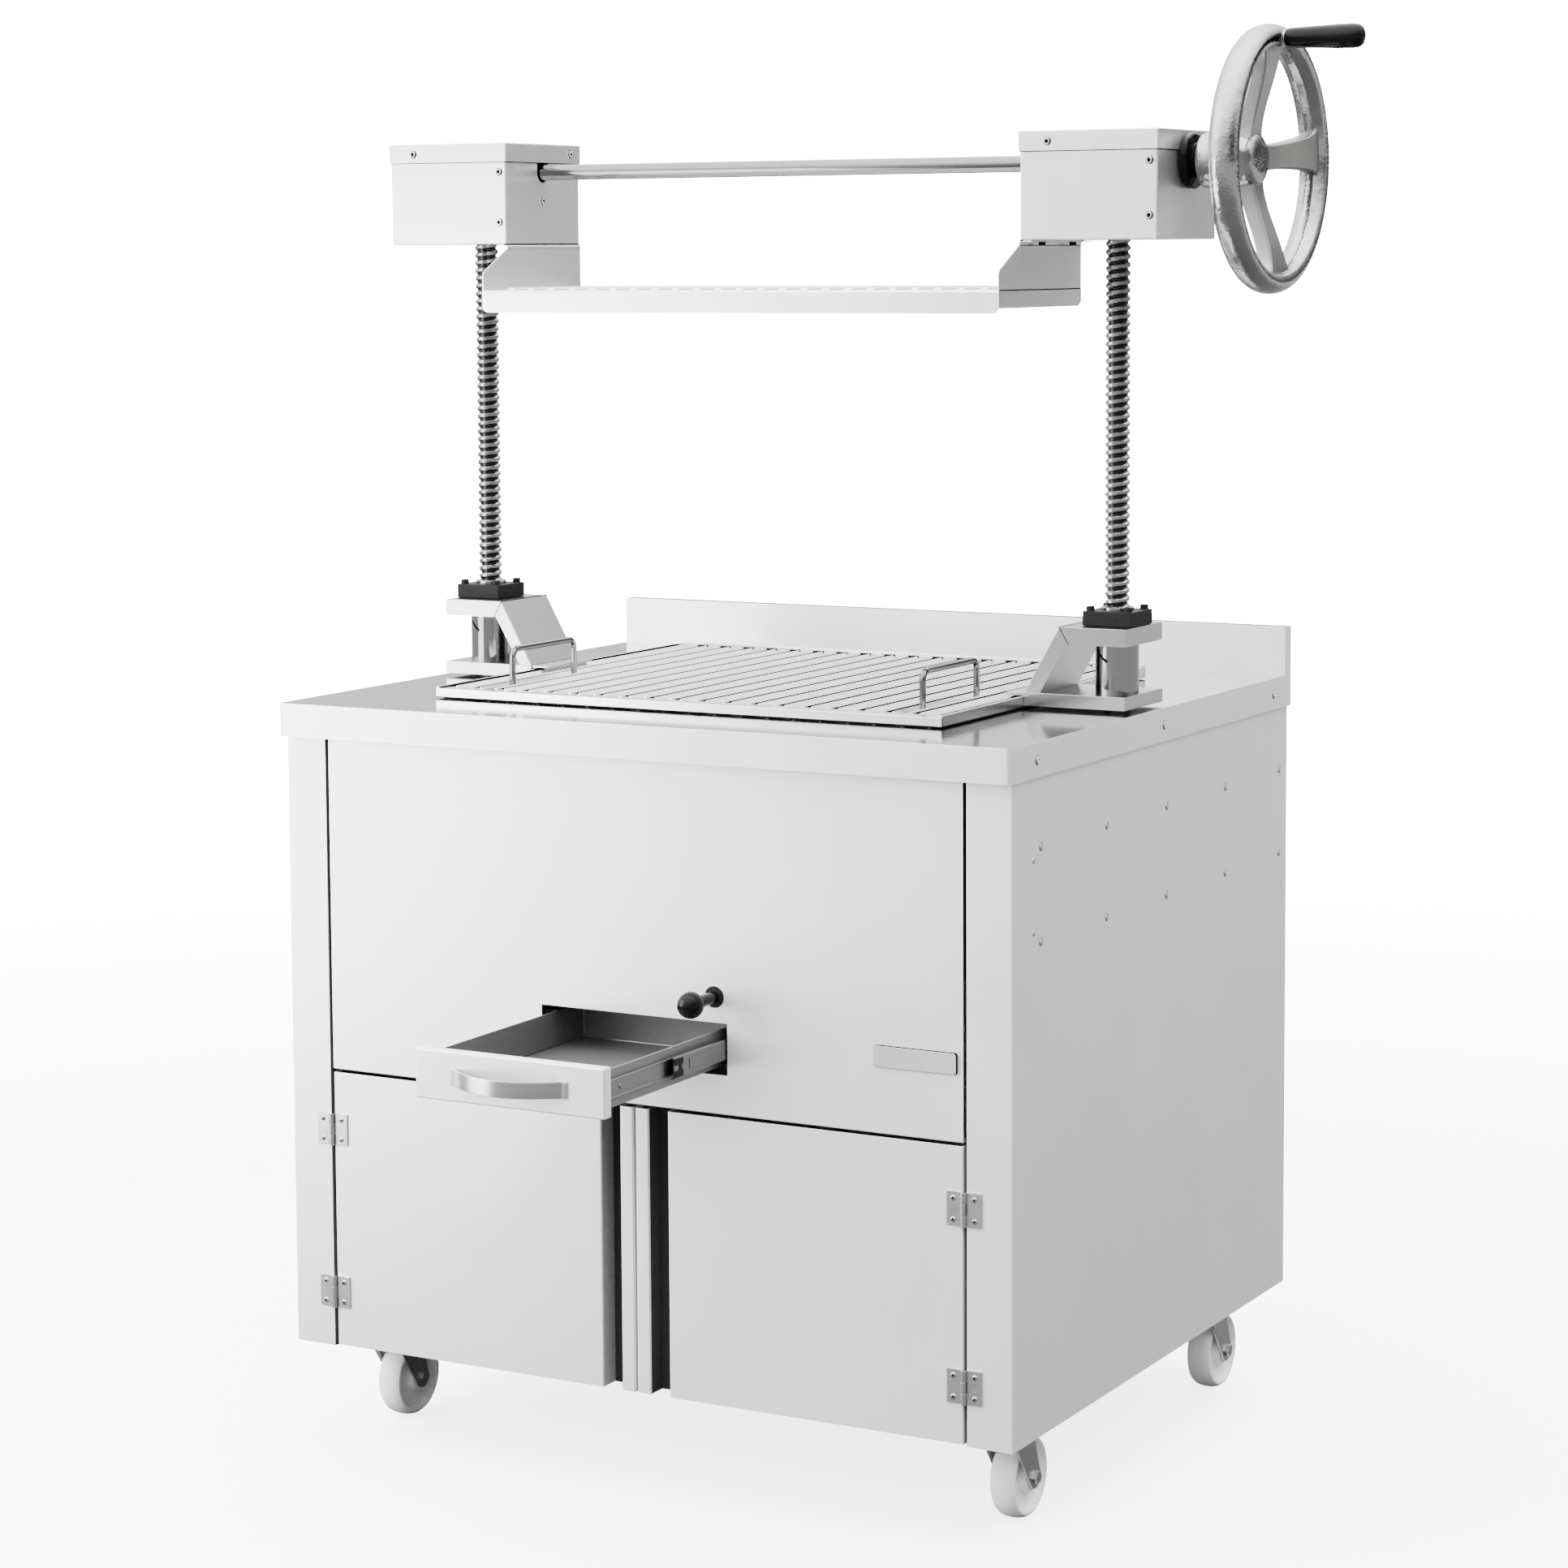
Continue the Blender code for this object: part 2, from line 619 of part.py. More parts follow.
def hinge(name, side, middle, carrier):
    leaf_back = FRONT - CLEAR
    leaf = (leaf_back - LEAF_THICKNESS, leaf_back)
    third = HINGE_HEIGHT / 6
    half = HINGE_HEIGHT / 2
    clear_of_knuckle = KNUCKLE_RADIUS + CLEAR
    axis = (side * HINGE_X, HINGE_Y)

    def wing(way, knuckles):
        plate = box((side * (HINGE_X + way * clear_of_knuckle), side * (HINGE_X + way * LEAF_WIDTH)), leaf,
                    (middle - half, middle + half))
        for low, high in knuckles:
            tab = box((side * HINGE_X, side * (HINGE_X + way * 2 * clear_of_knuckle)), leaf, (low, high))
            plate = joined(plate, tab, rod(KNUCKLE_RADIUS, (*axis, low), (*axis, high), 12))
        return plate

    ends = [(middle - half, middle - third - CLEAR), (middle + third + CLEAR, middle + half)]
    pin = rod(PIN_RADIUS, (*axis, middle - half + CLEAR), (*axis, middle + half - CLEAR), 12)
    piece(f"{name}_frame_leaf", joined(wing(1, ends), pin), "zinc_steel")
    bore = rod(PIN_RADIUS + RUNNING, (*axis, middle - half), (*axis, middle + half), 12)
    piece(f"{name}_door_leaf", cut(wing(-1, [(middle - third, middle + third)]), bore), "zinc_steel", carrier)


# Ash drawer, drawn out, on two telescopic slides
def drawer():
    inside = CARRIER_X
    path = [(-inside - CARRIER_TAB, CARRIER_FRONT), (-inside, CARRIER_FRONT),
            (-inside, CARRIER_FRONT + CARRIER_LENGTH), (inside, CARRIER_FRONT + CARRIER_LENGTH),
            (inside, CARRIER_FRONT), (inside + CARRIER_TAB, CARRIER_FRONT)]
    piece("drawer_carrier", sheet("XY", (DRAWER_Z - CARRIER_HEIGHT / 2, DRAWER_Z + CARRIER_HEIGHT / 2),
                                  folded(path, SHEET)), "zinc_steel")

    outer_web = inside - CLEAR
    middle_web = outer_web - SHEET - RUNNING
    inner_edge = middle_web - SHEET - RUNNING
    rail_open = outer_web - RAIL_DEPTH
    box_side = rail_open - RAIL_STEP
    half = RAIL_HEIGHT / 2
    middle_half = half - SHEET - RUNNING
    inner_half = middle_half - SHEET - RUNNING
    rail_front = FRONT + DRAWER_FRONT_DEPTH + PLATE

    def channel(side, web, open_edge, tall, span):
        path = [(open_edge, DRAWER_Z - tall), (web, DRAWER_Z - tall), (web, DRAWER_Z + tall),
                (open_edge, DRAWER_Z + tall)]
        return sheet("XZ", span, folded(mirrored(path, side), SHEET))

    carrier = pivot("drawer_slide", (0, FRONT - DRAWER_OUT, DRAWER_Z))
    middle_carrier = pivot("middle_rail_slide", (0, FRONT - DRAWER_OUT / 2, DRAWER_Z))
    front = FRONT - DRAWER_OUT
    width = OPENING_WIDTH / 2 - DRAWER_FRONT_GAP
    tall = OPENING_HEIGHT / 2 - DRAWER_FRONT_GAP
    face = box((-width, width), (front, front + DRAWER_FRONT_DEPTH), (DRAWER_Z - tall, DRAWER_Z + tall))
    hollow = box((SHEET - width, width - SHEET), (front + PLATE, front + 2 * DRAWER_FRONT_DEPTH),
                 (DRAWER_Z - tall + SHEET, DRAWER_Z + tall - SHEET))
    piece("drawer_front", cut(face, hollow), "stainless", carrier)

    box_front = front + PLATE + CLEAR
    box_half = half
    body = box((-box_side, box_side), (box_front, box_front + DRAWER_LENGTH),
               (DRAWER_Z - box_half, DRAWER_Z + box_half))
    inner = box((SHEET - box_side, box_side - SHEET), (box_front + SHEET, box_front + DRAWER_LENGTH - SHEET),
                (DRAWER_Z - box_half + SHEET, DRAWER_Z + box_half + PLATE))
    tray = cut(body, inner)
    for name, side in SIDES:
        span = (rail_front, rail_front + RAIL_LENGTH)
        piece(f"{name}_outer_rail", channel(side, outer_web, rail_open, half, span), "zinc_steel")
        shift = -DRAWER_OUT / 2
        piece(f"{name}_middle_rail", channel(side, middle_web, rail_open, middle_half,
                                             (span[0] + shift, span[1] + shift)), "zinc_steel", middle_carrier)
        path = [(inner_edge, DRAWER_Z - inner_half), (inner_edge, DRAWER_Z - inner_half + SHEET),
                (box_side - SHEET / 2 + SHEET, DRAWER_Z - inner_half + SHEET),
                (box_side - SHEET / 2 + SHEET, DRAWER_Z + inner_half - SHEET),
                (inner_edge, DRAWER_Z + inner_half - SHEET), (inner_edge, DRAWER_Z + inner_half),
                (box_side - SHEET / 2, DRAWER_Z + inner_half), (box_side - SHEET / 2, DRAWER_Z - inner_half)]
        rail = sheet("XZ", (span[0] - DRAWER_OUT, span[1] - DRAWER_OUT), [(side * u, v) for u, v in path])
        tray = joined(tray, rail)
    piece("drawer_box", tray, "zinc_steel", carrier)

    seat = front - CLEAR
    bow_half = BOW_WIDTH / 2
    rise = bow_half - BOW_FOOT
    bow = [(x * rise, seat - BOW_REACH * (1 - x * x)) for x in [i / 6 for i in range(-6, 7)]]
    path = [(-bow_half, seat)] + bow + [(bow_half, seat)]
    outline = folded([(x, y - BOW_STRIP) for x, y in path], BOW_STRIP)
    piece("drawer_handle", sheet("XY", (DRAWER_Z - BOW_HEIGHT / 2, DRAWER_Z + BOW_HEIGHT / 2), outline),
          "stainless", carrier)


# Lifting screws with their bevel gears, bearings, nuts and brackets
def bevel_gear(apex, axis, toward, phase):
    """Straight bevel teeth on a cone whose point is the apex, with a plain hub behind the wide end."""
    shape = bmesh.new()
    found = bmesh.ops.create_circle(shape, cap_ends=True, segments=4 * GEAR_TEETH, radius=GEAR_RADIUS)
    pitch = math.tau / GEAR_TEETH
    corners = ((GEAR_ROOT, -ROOT_SHARE), (GEAR_TIP, -TIP_SHARE), (GEAR_TIP, TIP_SHARE),
               (GEAR_ROOT, ROOT_SHARE))
    for index, vert in enumerate(found["verts"]):
        reach, share = corners[index % 4]
        angle = pitch * (index // 4 + share + phase)
        vert.co = (reach * math.cos(angle), reach * math.sin(angle), GEAR_RADIUS)
    grown = bmesh.ops.extrude_face_region(shape, geom=list(shape.faces))
    narrow = (GEAR_RADIUS - GEAR_FACE) / GEAR_RADIUS
    tip = [part for part in grown["geom"] if isinstance(part, bmesh.types.BMVert)]
    bmesh.ops.scale(shape, vec=(narrow, narrow, narrow), verts=tip)
    bmesh.ops.recalc_face_normals(shape, faces=shape.faces)
    hub = rod(GEAR_HUB_RADIUS, (0, 0, GEAR_RADIUS - PLATE), (0, 0, GEAR_RADIUS + GEAR_HUB))
    return placed(joined(shape, hub), apex, axis, toward)


def thread(bottom, turns):
    """A helical ridge on a solid core, closed at both ends."""
    shape = bmesh.new()
    root = THREAD_RADIUS - THREAD_DEPTH
    ridge = [(root, 0), (THREAD_RADIUS, THREAD_PITCH / 2), (root, THREAD_PITCH)]
    verts = [shape.verts.new((radius, 0, height)) for radius, height in ridge]
    for pair in zip(verts, verts[1:]):
        shape.edges.new(pair)
    item = blank(shape)
    step = item.modifiers.new("thread", "SCREW")
    step.steps = step.render_steps = 10
    step.iterations = turns
    step.screw_offset = THREAD_PITCH
    step.use_merge_vertices = False
    shape = evaluated(item)
    bmesh.ops.remove_doubles(shape, verts=shape.verts, dist=1e-5)
    edges = [edge for edge in shape.edges if edge.is_boundary]
    low = [edge for edge in edges if max(v.co.z for v in edge.verts) < turns * THREAD_PITCH / 2]
    high = [edge for edge in edges if edge not in low]
    for end, height in ((low, THREAD_PITCH / 2), (high, (turns + 0.5) * THREAD_PITCH)):
        tip = shape.verts.new((0, 0, height))
        for edge in end:
            shape.faces.new((*edge.verts, tip))
    bmesh.ops.recalc_face_normals(shape, faces=shape.faces)
    place = Matrix.Translation((0, 0, bottom)) @ Matrix.Rotation(THREAD_START, 4, "Z")
    bmesh.ops.transform(shape, matrix=place, verts=shape.verts)
    return shape


def screws():
    seat = UNDER - CLEAR
    collar_top = TOP + BRACKET_FOOT_SKIRT
    head_collar = HOUSING_Z - BRACKET_FOOT_SKIRT
    turns = round((head_collar - collar_top) / THREAD_PITCH)
    for name, side in SIDES:
        axis = (side * SCREW_X, SCREW_Y)
        carrier = pivot(f"{name}_screw_turn", (*axis, UNDER))
        ridge = thread(collar_top - THREAD_PITCH / 2, turns)
        core = rod(JOURNAL_RADIUS, (0, 0, seat - BEARING_HEIGHT), (0, 0, SHAFT_Z - GEAR_RADIUS - PLATE), 20)
        foot = rod(COLLAR_RADIUS, (0, 0, UNDER), (0, 0, collar_top), 20)
        head = rod(COLLAR_RADIUS, (0, 0, head_collar), (0, 0, HOUSING_Z - CLEAR), 20)
        gear = bevel_gear((0, 0, SHAFT_Z), (0, 0, -1), (1, 0, 0), 0.5)
        shape = joined(ridge, core, foot, head, gear)
        bmesh.ops.translate(shape, vec=(*axis, 0), verts=shape.verts)
        piece(f"{name}_screw", shape, "screw_steel", carrier)

        half = BEARING_SIZE / 2
        block = box((axis[0] - half, axis[0] + half), (axis[1] - half, axis[1] + half),
                    (seat - BEARING_HEIGHT, seat))
        bore = rod(JOURNAL_RADIUS + RUNNING, (*axis, seat - 2 * BEARING_HEIGHT), (*axis, TOP), 20)
        piece(f"{name}_foot_bearing", cut(block, bore), "black_steel")


def brackets(carrier):
    front = SCREW_Y - BRACKET_DEPTH / 2
    back = SCREW_Y + BRACKET_DEPTH / 2
    top = TOP + BRACKET_TOP
    foot = TOP + BRACKET_FOOT
    bend = BRACKET_OUTER - BRACKET_TOP_WIDTH
    wall = PLATE
    for name, side in SIDES:
        axis = (side * SCREW_X, SCREW_Y)

        def span(low, high):
            return (side * low, side * high)

        lower = box(span(BRACKET_INNER, BRACKET_OUTER), (front - wall, back + wall),
                    (foot - BRACKET_FOOT_SKIRT, foot))
        lower_hollow = box(span(BRACKET_INNER + wall, BRACKET_OUTER - wall), (front, back),
                           (foot - 2 * BRACKET_FOOT_SKIRT, foot - wall))
        slope = Vector((bend - BRACKET_INNER, top - foot)).normalized()
        across = Vector((slope.y, -slope.x))

        def channel(inset):
            reach = BRACKET_FLANGE if inset == 0 else 2 * BRACKET_FLANGE
            start = Vector((BRACKET_INNER, foot - wall / 2)) + across * inset - slope * inset
            end = Vector((bend, top)) + across * inset + slope * inset
            corners = [start, start + across * reach, end + across * reach, end]
            return [(side * u, v) for u, v in corners]

        arm = sheet("XZ", (front, back), channel(0))
        arm_hollow = sheet("XZ", (front + wall, back - wall), channel(wall))
        trim = box(span(BRACKET_INNER - BRACKET_TOP, BRACKET_OUTER), (front - wall, back + wall),
                   (top, top + BRACKET_TOP))
        trim_low = box(span(BRACKET_INNER - BRACKET_TOP, BRACKET_OUTER + wall),
                       (front - 2 * wall, back + 2 * wall), (foot - BRACKET_TOP, foot - wall / 2))
        upper = box(span(bend, BRACKET_OUTER), (front, back), (top - BRACKET_TOP_SKIRT, top))
        upper_hollow = box(span(bend - BRACKET_TOP_SKIRT, BRACKET_OUTER - wall), (front + wall, back - wall),
                           (top - 2 * BRACKET_TOP_SKIRT, top - wall))
        rail_top = TOP + GRATE_SIDE_TOP + CLEAR
        tab = box(span(BRACKET_INNER - 2 * BAR_DEPTH, BRACKET_INNER + BRACKET_FLANGE), (front, back),
                  (rail_top, foot - wall / 4))
        tube = rod(TUBE_RADIUS, (*axis, foot - wall / 2), (*axis, top - wall / 2), 24)
        tube_hollow = rod(TUBE_RADIUS - wall, (*axis, foot - wall / 4), (*axis, top - wall), 24)
        bore = rod(COLLAR_RADIUS + wall, (*axis, foot - 2 * BRACKET_FOOT_SKIRT), (*axis, top + wall), 20)
        shape = joined(cut(arm, arm_hollow, trim, trim_low), cut(upper, upper_hollow))
        shape = joined(shape, cut(lower, lower_hollow), tab)
        shape = cut(joined(shape, tube), tube_hollow, bore)
        piece(f"{name}_lift_bracket", shape, "stainless", carrier)

        half = NUT_SIZE / 2
        block = box((axis[0] - half, axis[0] + half), (axis[1] - half, axis[1] + half),
                    (top + CLEAR, top + CLEAR + NUT_HEIGHT))
        nut_bore = rod(THREAD_RADIUS + 2 * RUNNING, (*axis, top - NUT_HEIGHT),
                       (*axis, top + 2 * NUT_HEIGHT), 24)
        piece(f"{name}_lift_nut", cut(block, nut_bore), "black_steel", carrier)


def grate(carrier):
    side_out = BRACKET_INNER - CLEAR
    side_in = side_out - GRATE_RAIL
    low = TOP + GRATE_FOOT
    front_top = TOP + GRATE_FRONT_TOP
    frame = sheet("XY", (low, front_top), rectangle((-side_out, side_out), (GRATE_FRONT, GRATE_BACK)),
                  rectangle((-side_in, side_in), (GRATE_FRONT + GRATE_RAIL, GRATE_BACK - GRATE_RAIL)))
    gutter = box((-side_out + GRATE_RAIL / 2, side_out - GRATE_RAIL / 2),
                 (GRATE_FRONT + GRATE_RAIL / 2, GRATE_FRONT + GUTTER_DEPTH), (front_top - PLATE, front_top))
    back = box((-side_out, side_out), (GRATE_BACK - GRATE_RAIL, GRATE_BACK),
               (low + PLATE, TOP + GRATE_BACK_TOP))
    sides = together(*[box((side * side_in, side * side_out),
                           (GRATE_FRONT + GUTTER_DEPTH, GRATE_BACK - PLATE),
                           (low + PLATE, TOP + GRATE_SIDE_TOP)) for _, side in SIDES])
    half = BAR_WIDTH / 2
    bars = []
    each_side = int((side_in - half) / BAR_PITCH)
    for index in range(-each_side, each_side + 1):
        x = index * BAR_PITCH
        path = [(x - half, front_top), (x, front_top - BAR_DEPTH), (x + half, front_top)]
        bars.append(sheet("XZ", (GRATE_FRONT + GUTTER_DEPTH - PLATE, GRATE_BACK - GRATE_RAIL / 2),
                          folded(path, PLATE)))
    bend = 3 * HANDLE_ROD
    crown = front_top + HANDLE_HEIGHT - HANDLE_ROD
    seat = front_top - BAR_DEPTH + PLATE / 2
    loops = []
    for _, side in SIDES:
        corners = arc((HANDLE_FRONT + bend, crown - bend), bend, 180, 90, 3)
        corners += arc((HANDLE_BACK - bend, crown - bend), bend, 90, 0, 3)
        path = [(HANDLE_FRONT, seat)] + corners + [(HANDLE_BACK, seat)]
        loops.append(bent_rod([(side * HANDLE_X, y, z) for y, z in path], HANDLE_ROD))
    shape = joined(frame, gutter, back, sides, together(*bars), together(*loops))
    piece("grate", shape, "stainless", carrier)


# Gear housings, cross shaft, handwheel and warming shelf
def housings():
    half = HOUSING_SIZE / 2
    top = HOUSING_Z + HOUSING_HEIGHT
    body_top = top - SHEET - CLEAR
    for name, side in SIDES:
        x = side * SCREW_X
        body = box((x - half, x + half), (SCREW_Y - half, SCREW_Y + half), (HOUSING_Z, body_top))
        hollow = box((x - half + SHEET, x + half - SHEET), (SCREW_Y - half + SHEET, SCREW_Y + half - SHEET),
                     (HOUSING_Z + PLATE, top))
        shape = cut(body, hollow)
        seat = rod(2 * JOURNAL_RADIUS, (x, SCREW_Y, HOUSING_Z + PLATE / 2),
                   (x, SCREW_Y, HOUSING_Z + GEAR_HUB), 20)
        post_x = x - side * (half - POST_INSET)
        post = box((post_x - PLATE, post_x + PLATE), (SCREW_Y - NOTCH_WIDTH, SCREW_Y + NOTCH_WIDTH),
                   (HOUSING_Z + PLATE / 2, SHAFT_Z + 2 * SHAFT_RADIUS))
        shape = joined(shape, seat, post)
        bore = rod(JOURNAL_RADIUS + RUNNING, (x, SCREW_Y, HOUSING_Z - PLATE),
                   (x, SCREW_Y, HOUSING_Z + LID_SKIRT), 20)
        shaft_bore = rod(SHAFT_RADIUS + RUNNING, (post_x - 2 * PLATE, SCREW_Y, SHAFT_Z),
                         (post_x + 2 * PLATE, SCREW_Y, SHAFT_Z), 20)
        walls = [x - side * half] if side < 0 else [x - half, x + half]
        notch = NOTCH_WIDTH / 2
        path = arc((SCREW_Y, SHAFT_Z), notch, 180, 360, 12) + [(SCREW_Y + notch, top), (SCREW_Y - notch, top)]
        notches = [sheet("YZ", (wall - 2 * PLATE, wall + 2 * PLATE), path) for wall in walls]
        piece(f"{name}_gear_housing", cut(shape, bore, shaft_bore, *notches), "stainless")

        lid_half = half + LID_GAP + SHEET
        lid = box((x - lid_half, x + lid_half), (SCREW_Y - lid_half, SCREW_Y + lid_half),
                  (top - LID_SKIRT, top))
        inside = lid_half - SHEET
        lid_hollow = box((x - inside, x + inside), (SCREW_Y - inside, SCREW_Y + inside),
                         (top - 2 * LID_SKIRT, top - SHEET))
        piece(f"{name}_housing_lid", cut(lid, lid_hollow), "stainless")

    axis = (SCREW_Y, SHAFT_Z)
    end = COLLAR_START + COLLAR_LENGTH
    collar = rod(HUB_RADIUS, (COLLAR_START, *axis), (end, *axis), 28)
    spigot = rod(NOTCH_WIDTH / 2 - CLEAR, (HOUSING_OUT - SHEET, *axis), (COLLAR_START + PLATE, *axis), 24)
    bore = rod(SHAFT_RADIUS + RUNNING, (HOUSING_OUT - COLLAR_LENGTH, *axis), (end + COLLAR_LENGTH, *axis), 20)
    piece("shaft_bearing", cut(joined(collar, spigot), bore), "black_plastic")


def warming_shelf():
    top = HOUSING_Z - SHELF_DROP
    ceiling = HOUSING_Z - CLEAR
    front = SCREW_Y - HOUSING_SIZE / 2
    back = SCREW_Y + HOUSING_SIZE / 2
    path = [(back, top - SHELF_SKIRT), (back, top), (SHELF_FRONT, top), (SHELF_FRONT, top - SHELF_LIP)]
    shape = sheet("YZ", (-SHELF_X, SHELF_X), folded(path, SHEET))
    cheek = [(SHELF_FRONT + SHEET / 2, top - SHELF_SKIRT), (back - SHEET / 2, top - SHELF_SKIRT),
             (back - SHEET / 2, ceiling), (front, ceiling), (SHELF_FRONT + SHEET / 2, top + SHELF_SKIRT)]
    for _, side in SIDES:
        plate = sheet("YZ", (side * SHELF_X, side * (SHELF_X - SHEET)), cheek)
        flange = box((side * (SHELF_X - SHEET / 2), side * (SHELF_X + 2 * SHEET + GEAR_HUB)), (front, back),
                     (ceiling - SHEET, ceiling))
        shape = joined(shape, joined(plate, flange))
    piece("warming_shelf", shape, "stainless")


def drive():
    axis = (SCREW_Y, SHAFT_Z)
    carrier = pivot("handwheel_turn", (RIM_X, *axis))
    start = -SCREW_X + GEAR_RADIUS - GEAR_FACE - PLATE
    hub_end = HUB_START + HUB_LENGTH
    shaft_end = hub_end - GEAR_HUB
    shaft = rod(SHAFT_RADIUS, (start, *axis), (shaft_end - CLEAR, *axis), 20)
    piece("drive_shaft", shaft, "stainless", carrier)
    for name, side in SIDES:
        gear = bevel_gear((side * SCREW_X, *axis), (1, 0, 0), (0, 0, -1), 0)
        bore = rod(SHAFT_RADIUS + CLEAR, (side * SCREW_X, *axis),
                   (side * SCREW_X + 2 * GEAR_RADIUS, *axis), 20)
        piece(f"{name}_shaft_gear", cut(gear, bore), "gear_steel", carrier)

    half = WHEEL_RIM / 2
    middle = WHEEL_RADIUS - half
    section = [(middle + half * math.cos(a), RIM_DEPTH / 2 * math.sin(a))
               for a in [math.tau * i / 12 for i in range(12)]]
    rim = placed(turned(section, 40, closed=True), (RIM_X, *axis), (1, 0, 0), (0, 0, 1))
    hub = rod(HUB_RADIUS, (HUB_START, *axis), (hub_end, *axis), 28)
    shape = joined(rim, hub)
    for index in range(SPOKES):
        shape = joined(shape, spoke(SPOKE_TURN + math.tau * index / SPOKES, hub_end, middle, axis))
    bore = rod(SHAFT_RADIUS + CLEAR, (HUB_START - PLATE, *axis), (shaft_end, *axis), 20)
    pin_axis = (SCREW_Y, SHAFT_Z + GRIP_ORBIT)
    seat = RIM_X + RIM_DEPTH / 2 + SHEET
    ferrule = rod(GRIP_NECK - SHEET, (RIM_X, *pin_axis), (seat, *pin_axis))
    grip_end = seat + CLEAR + GRIP_LENGTH
    pin_end = grip_end - GRIP_RADIUS
    pin = rod(GRIP_PIN, (RIM_X, *pin_axis), (pin_end, *pin_axis))
    piece("handwheel", joined(cut(shape, bore), ferrule, pin), "polished_aluminium", carrier)

    grip_carrier = pivot("grip_spin", (seat, *pin_axis))
    bore_radius = GRIP_PIN + RUNNING
    depth = GRIP_LENGTH - GRIP_RADIUS + 2 * CLEAR
    crown = [(GRIP_RADIUS * math.sin(a), GRIP_LENGTH - GRIP_RADIUS / 2 * (1 - math.cos(a)))
             for a in [math.radians(18 * i) for i in range(6)]]
    profile = crown + [(GRIP_NECK, 0), (bore_radius, 0), (bore_radius, depth), (0, depth)]
    grip = placed(turned(profile, 16), (seat + CLEAR, *pin_axis), (1, 0, 0), (0, 0, 1))
    piece("handwheel_grip", grip, "black_plastic", grip_carrier)


def spoke(angle, hub_end, reach, axis):
    """A flat arm that widens and leans outwards from the hub to the rim."""
    shape = box((0, 1), (-1, 1), (0, 1))
    for vert in shape.verts:
        outer = vert.co.z > 0.5
        front = vert.co.x > 0.5
        x = (RIM_X + SPOKE_THICKNESS / 2 if outer else hub_end - PLATE) - (0 if front else SPOKE_THICKNESS)
        vert.co = (x, vert.co.y * (SPOKE_OUTER if outer else SPOKE_INNER), reach if outer else HUB_RADIUS / 2)
    turn = Matrix.Rotation(angle, 4, "X")
    bmesh.ops.transform(shape, matrix=Matrix.Translation((0, *axis)) @ turn, verts=shape.verts)
    return shape


# Castors: a fixed plate with a king pin, a swivelling fork with its axle, and a wheel
def casters():
    for depth_name, way in (("front", -1), ("back", 1)):
        for name, side in SIDES:
            caster(f"{depth_name}_{name}", side * CASTER_X, way * CASTER_Y)


def caster(name, x, y):
    plate_top = BASE - CLEAR
    plate_low = plate_top - CASTER_PLATE
    fork_top = WHEEL_SIZE + 3 * FORK_TOP
    race_low = fork_top + CLEAR
    half_x = CASTER_PLATE_X / 2
    half_y = CASTER_PLATE_Y / 2
    plate = box((x - half_x, x + half_x), (y - half_y, y + half_y), (plate_low, plate_top))
    race = rod(RACEWAY_RADIUS, (x, y, race_low), (x, y, plate_low + CASTER_PLATE / 2), 24)
    head_top = fork_top - FORK_TOP - CLEAR
    stem = rod(KING_PIN, (x, y, head_top - FORK_TOP / 2), (x, y, race_low + CLEAR), 16)
    head = rod(KING_PIN_HEAD, (x, y, head_top - FORK_TOP), (x, y, head_top), 16)
    piece(f"{name}_caster_plate", joined(plate, race, stem, head), "zinc_steel")

    swivel = pivot(f"{name}_swivel", (x, y, fork_top))
    axle_y = y + CASTER_TRAIL
    inside = WHEEL_HUB_WIDTH / 2 + 2 * RUNNING
    outside = inside + FORK_CHEEK
    deck = box((x - outside, x + outside), (y - FORK_DECK, y + FORK_DECK), (fork_top - FORK_TOP, fork_top))
    tail = arc((axle_y, AXLE_Z), FORK_ROUND, 200, 380, 8)
    outline = [(y - FORK_DECK, fork_top)] + tail + [(y + FORK_DECK, fork_top)]
    for way in (-1, 1):
        cheek = sheet("YZ", (x + way * inside, x + way * outside), outline)
        deck = joined(deck, cheek)
    bolt_reach = outside + FORK_CHEEK + SHEET
    axle = rod(AXLE_RADIUS, (x - outside, axle_y, AXLE_Z), (x + outside, axle_y, AXLE_Z), 16)
    heads = [rod(AXLE_HEAD, (x + way * (outside - SHEET), axle_y, AXLE_Z),
                 (x + way * bolt_reach, axle_y, AXLE_Z), 6) for way in (-1, 1)]
    king_hole = rod(KING_PIN + RUNNING, (x, y, fork_top - 2 * FORK_TOP), (x, y, fork_top + FORK_TOP), 16)
    piece(f"{name}_fork", cut(joined(deck, axle, *heads), king_hole), "zinc_steel", swivel)

    steps = 24
    spin = pivot(f"{name}_wheel_spin", (x, axle_y, AXLE_Z))
    radius = WHEEL_SIZE / 2 / math.cos(math.pi / steps)
    edge = TREAD_WIDTH / 2
    hub = WHEEL_HUB_WIDTH / 2
    bore = AXLE_RADIUS + RUNNING
    upper = [(bore, hub), (WHEEL_BOSS, hub), (WEB_START, WEB_HALF), (WEB_END, WEB_HALF), (TREAD_START, edge),
             (TREAD_SHOULDER, edge), (radius, TREAD_FLAT)]
    profile = upper + [(r, -h) for r, h in upper[::-1]]
    shape = turned(profile, steps, closed=True)
    bmesh.ops.rotate(shape, matrix=Matrix.Rotation(math.pi / steps, 3, "Z"), verts=shape.verts)
    piece(f"{name}_wheel", placed(shape, (x, axle_y, AXLE_Z), (1, 0, 0), (0, 0, -1)), "white_nylon", spin)


def main():
    fresh_scene()
    side_panels()
    back_panel()
    front_panel()
    worktop()
    firebox()
    damper()
    doors()
    drawer()
    screws()
    carriage = pivot("grate_lift", (0, SCREW_Y, TOP))
    brackets(carriage)
    grate(carriage)
    housings()
    warming_shelf()
    drive()
    casters()


main()
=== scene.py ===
import math

import bmesh
import bpy
from mathutils import Matrix, Quaternion, Vector


